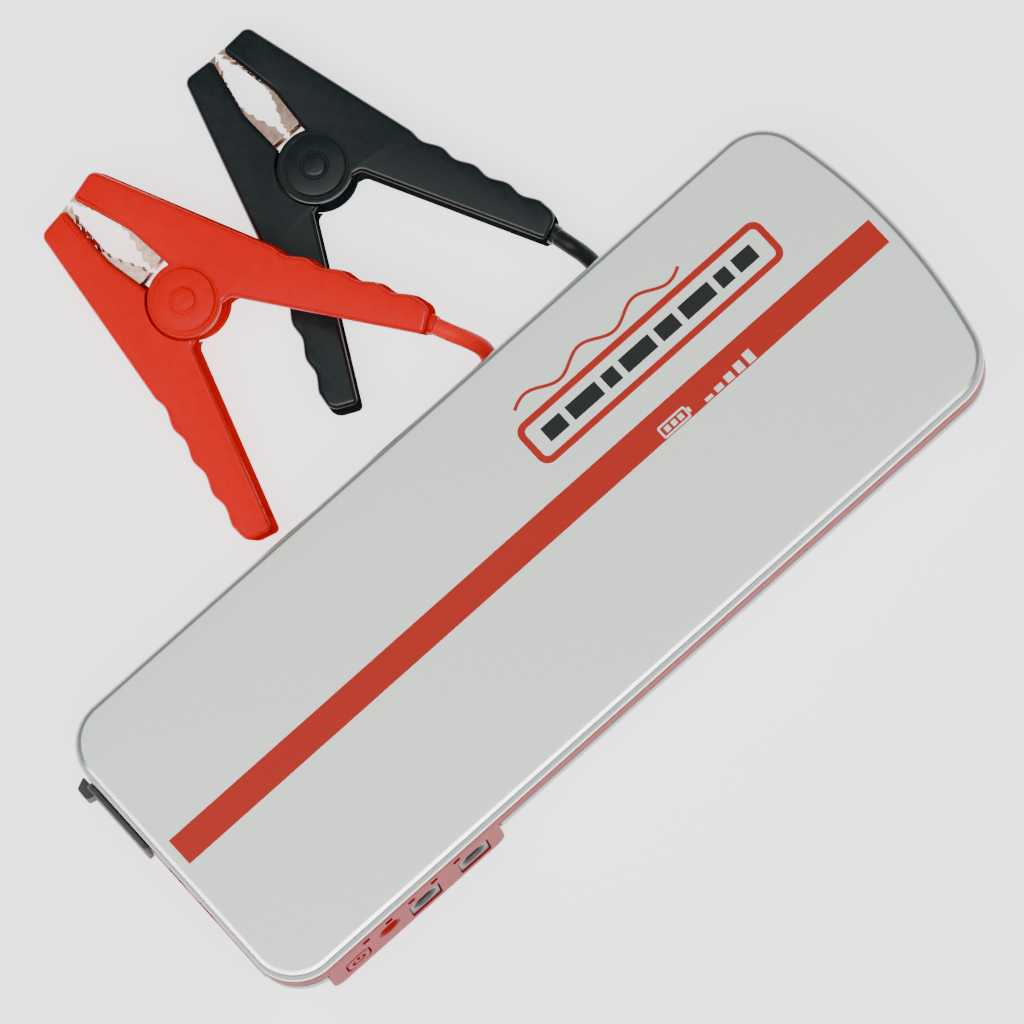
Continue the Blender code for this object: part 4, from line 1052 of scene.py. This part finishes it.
def make_leads():
    """Both leads, each from its clamp's strain relief to its plug, and their plugs' sleeves."""
    for colour, spec in CLAMPS.items():
        place = clamp_place(*spec)
        mouth = Vector((EXIT_U, EXIT_V, 0)) + EXIT_AXIS * RELIEF_END
        exit_point = place @ mouth
        knots = [exit_point, place @ (mouth + EXIT_AXIS * 4 * MM)]
        knots += [Vector(p) * MM for p in ROUTES[colour]]
        line = smooth_line(knots)
        lead = make_lead(colour, line)
        shell = make_plug_shell(colour, line)


def make_plug_shell(colour, line):
    """The plug's sleeve, which carries on from the lead, with grip rings towards the lead."""
    low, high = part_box(f"{colour}_plug_shell")
    back = line[-1] + (line[-1] - line[-2]).normalized() * 0.3 * MM
    back.z = (low[2] + high[2]) / 2
    heading = line[-1] - line[-2]
    heading.z = 0
    heading.normalize()
    radius, groove_radius = 2.65 * MM, 2.4 * MM
    profile = [(0, 2.3 * MM), (0.3 * MM, 2.5 * MM), (2.0 * MM, radius)]
    for k in range(5):
        at = 3.0 * MM + k * 1.6 * MM
        profile += [(at, radius), (at + 0.2 * MM, groove_radius), (at + 0.6 * MM, groove_radius),
                    (at + 0.8 * MM, radius)]
    profile += [(17.4 * MM, radius), (17.8 * MM, 2.5 * MM), (18.0 * MM, 2.2 * MM)]
    shell = turned(f"{colour}_plug_sleeve", back, back + heading, profile, PLASTICS[colour], 40)
    return finish_piece(shell, "pack", f"{colour}_clamp_plastic", f"{colour}_plug_shell")


make_leads()


# ---------------------------------------------------------------- the CAD nodes that are kept

# The look of each node that is shown as it is
KEPT = {
    "screw_1": SCREW, "screw_2": SCREW, "screw_3": SCREW, "screw_4": SCREW, "torch_reflector": CHROME,
    "jump_socket": DARK, "button_switch": DARK, "socket_contact_positive": BRASS,
    "socket_contact_negative": BRASS, "busbar_positive": BRASS, "busbar_negative": BRASS,
    "control_board": BOARD, "port_board": BOARD, "cell_1": CELL, "cell_2": CELL, "cell_3": CELL,
    "foam_pad": FOAM,
}
for clamp_colour in CLAMPS:
    KEPT[f"{clamp_colour}_fixed_jaw"] = COPPER
    KEPT[f"{clamp_colour}_moving_jaw"] = COPPER
    KEPT[f"{clamp_colour}_spring"] = STEEL
    KEPT[f"{clamp_colour}_crimp"] = STEEL
    KEPT[f"{clamp_colour}_strain_relief"] = PLASTICS[clamp_colour]
    KEPT[f"{clamp_colour}_plug_pin"] = BRASS
JAW_EDGE = 0.12 * MM
for node, look in KEPT.items():
    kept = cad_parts[node]
    kept.data.materials.clear()
    kept.data.materials.append(look)
    if node.endswith("_jaw"):
        edges = kept.modifiers.new("Edges", "BEVEL")
        edges.width = JAW_EDGE
        edges.segments = 2
        edges.limit_method = "ANGLE"
        edges.angle_limit = radians(35)


# ---------------------------------------------------------------- floor, light and camera

def make_floor():
    """A plain floor, a hair below the object."""
    bm = bmesh.new()
    bmesh.ops.create_grid(bm, x_segments=1, y_segments=1, size=4.0)
    mesh = bpy.data.meshes.new("floor")
    bm.to_mesh(mesh)
    bm.free()
    floor = add_object("floor", mesh, FLOOR)
    floor.location.z = -0.05 * MM
    return floor


def area_light(name, place, aim, size, power):
    """A white area light at place, turned towards aim."""
    data = bpy.data.lights.new(name, "AREA")
    data.shape = "RECTANGLE"
    data.size = size[0]
    data.size_y = size[1]
    data.energy = power
    made = bpy.data.objects.new(name, data)
    SHAPES.objects.link(made)
    made.location = place
    made.rotation_euler = (Vector(aim) - Vector(place)).to_track_quat("-Z", "Y").to_euler()
    return made


make_floor()
area_light("overhead", (-0.1, -0.25, 1.6), (0, 0.03, 0), (1.6, 1.6), 12.0)
area_light("strip", (-0.54, -0.25, 1.4), (-0.12, 0.17, 0.0), (1.9, 0.5), 20)
area_light("rim", (1.2, -0.9, 0.5), (0, 0, 0), (0.5, 0.9), 2.5)


def make_world():
    """Even white light from all around."""
    world = bpy.data.worlds.new("studio")
    bpy.context.scene.world = world
    world.use_nodes = True
    sky = world.node_tree.nodes["Background"]
    sky.inputs["Color"].default_value = (1.0, 1.0, 1.0, 1.0)
    sky.inputs["Strength"].default_value = 0.30


# The view: the point at its middle, its right and up directions, and the width seen at that point
TARGET = Vector((1.3, 9.6, 29.0)) * MM
RIGHT = Vector((0.7456, -0.6589, -0.0988))
UP = Vector((0.6619, 0.7163, 0.2208))
DISTANCE = 2.6
VIEW_WIDTH = 242.1 * MM
SENSOR = 36


def make_camera():
    """The camera that looks straight down this view, its lens worked out from the width seen."""
    data = bpy.data.cameras.new("camera")
    camera = bpy.data.objects.new("camera", data)
    SHAPES.objects.link(camera)
    right = RIGHT.normalized()
    back = right.cross(UP).normalized()
    up = back.cross(right)
    facing = Matrix((right, up, back)).transposed().to_4x4()
    camera.matrix_world = Matrix.Translation(TARGET + back * DISTANCE) @ facing
    data.sensor_width = SENSOR
    data.lens = SENSOR * DISTANCE / VIEW_WIDTH
    data.clip_start = 0.05
    data.clip_end = 20
    bpy.context.scene.camera = camera
    return camera


make_world()
make_camera()
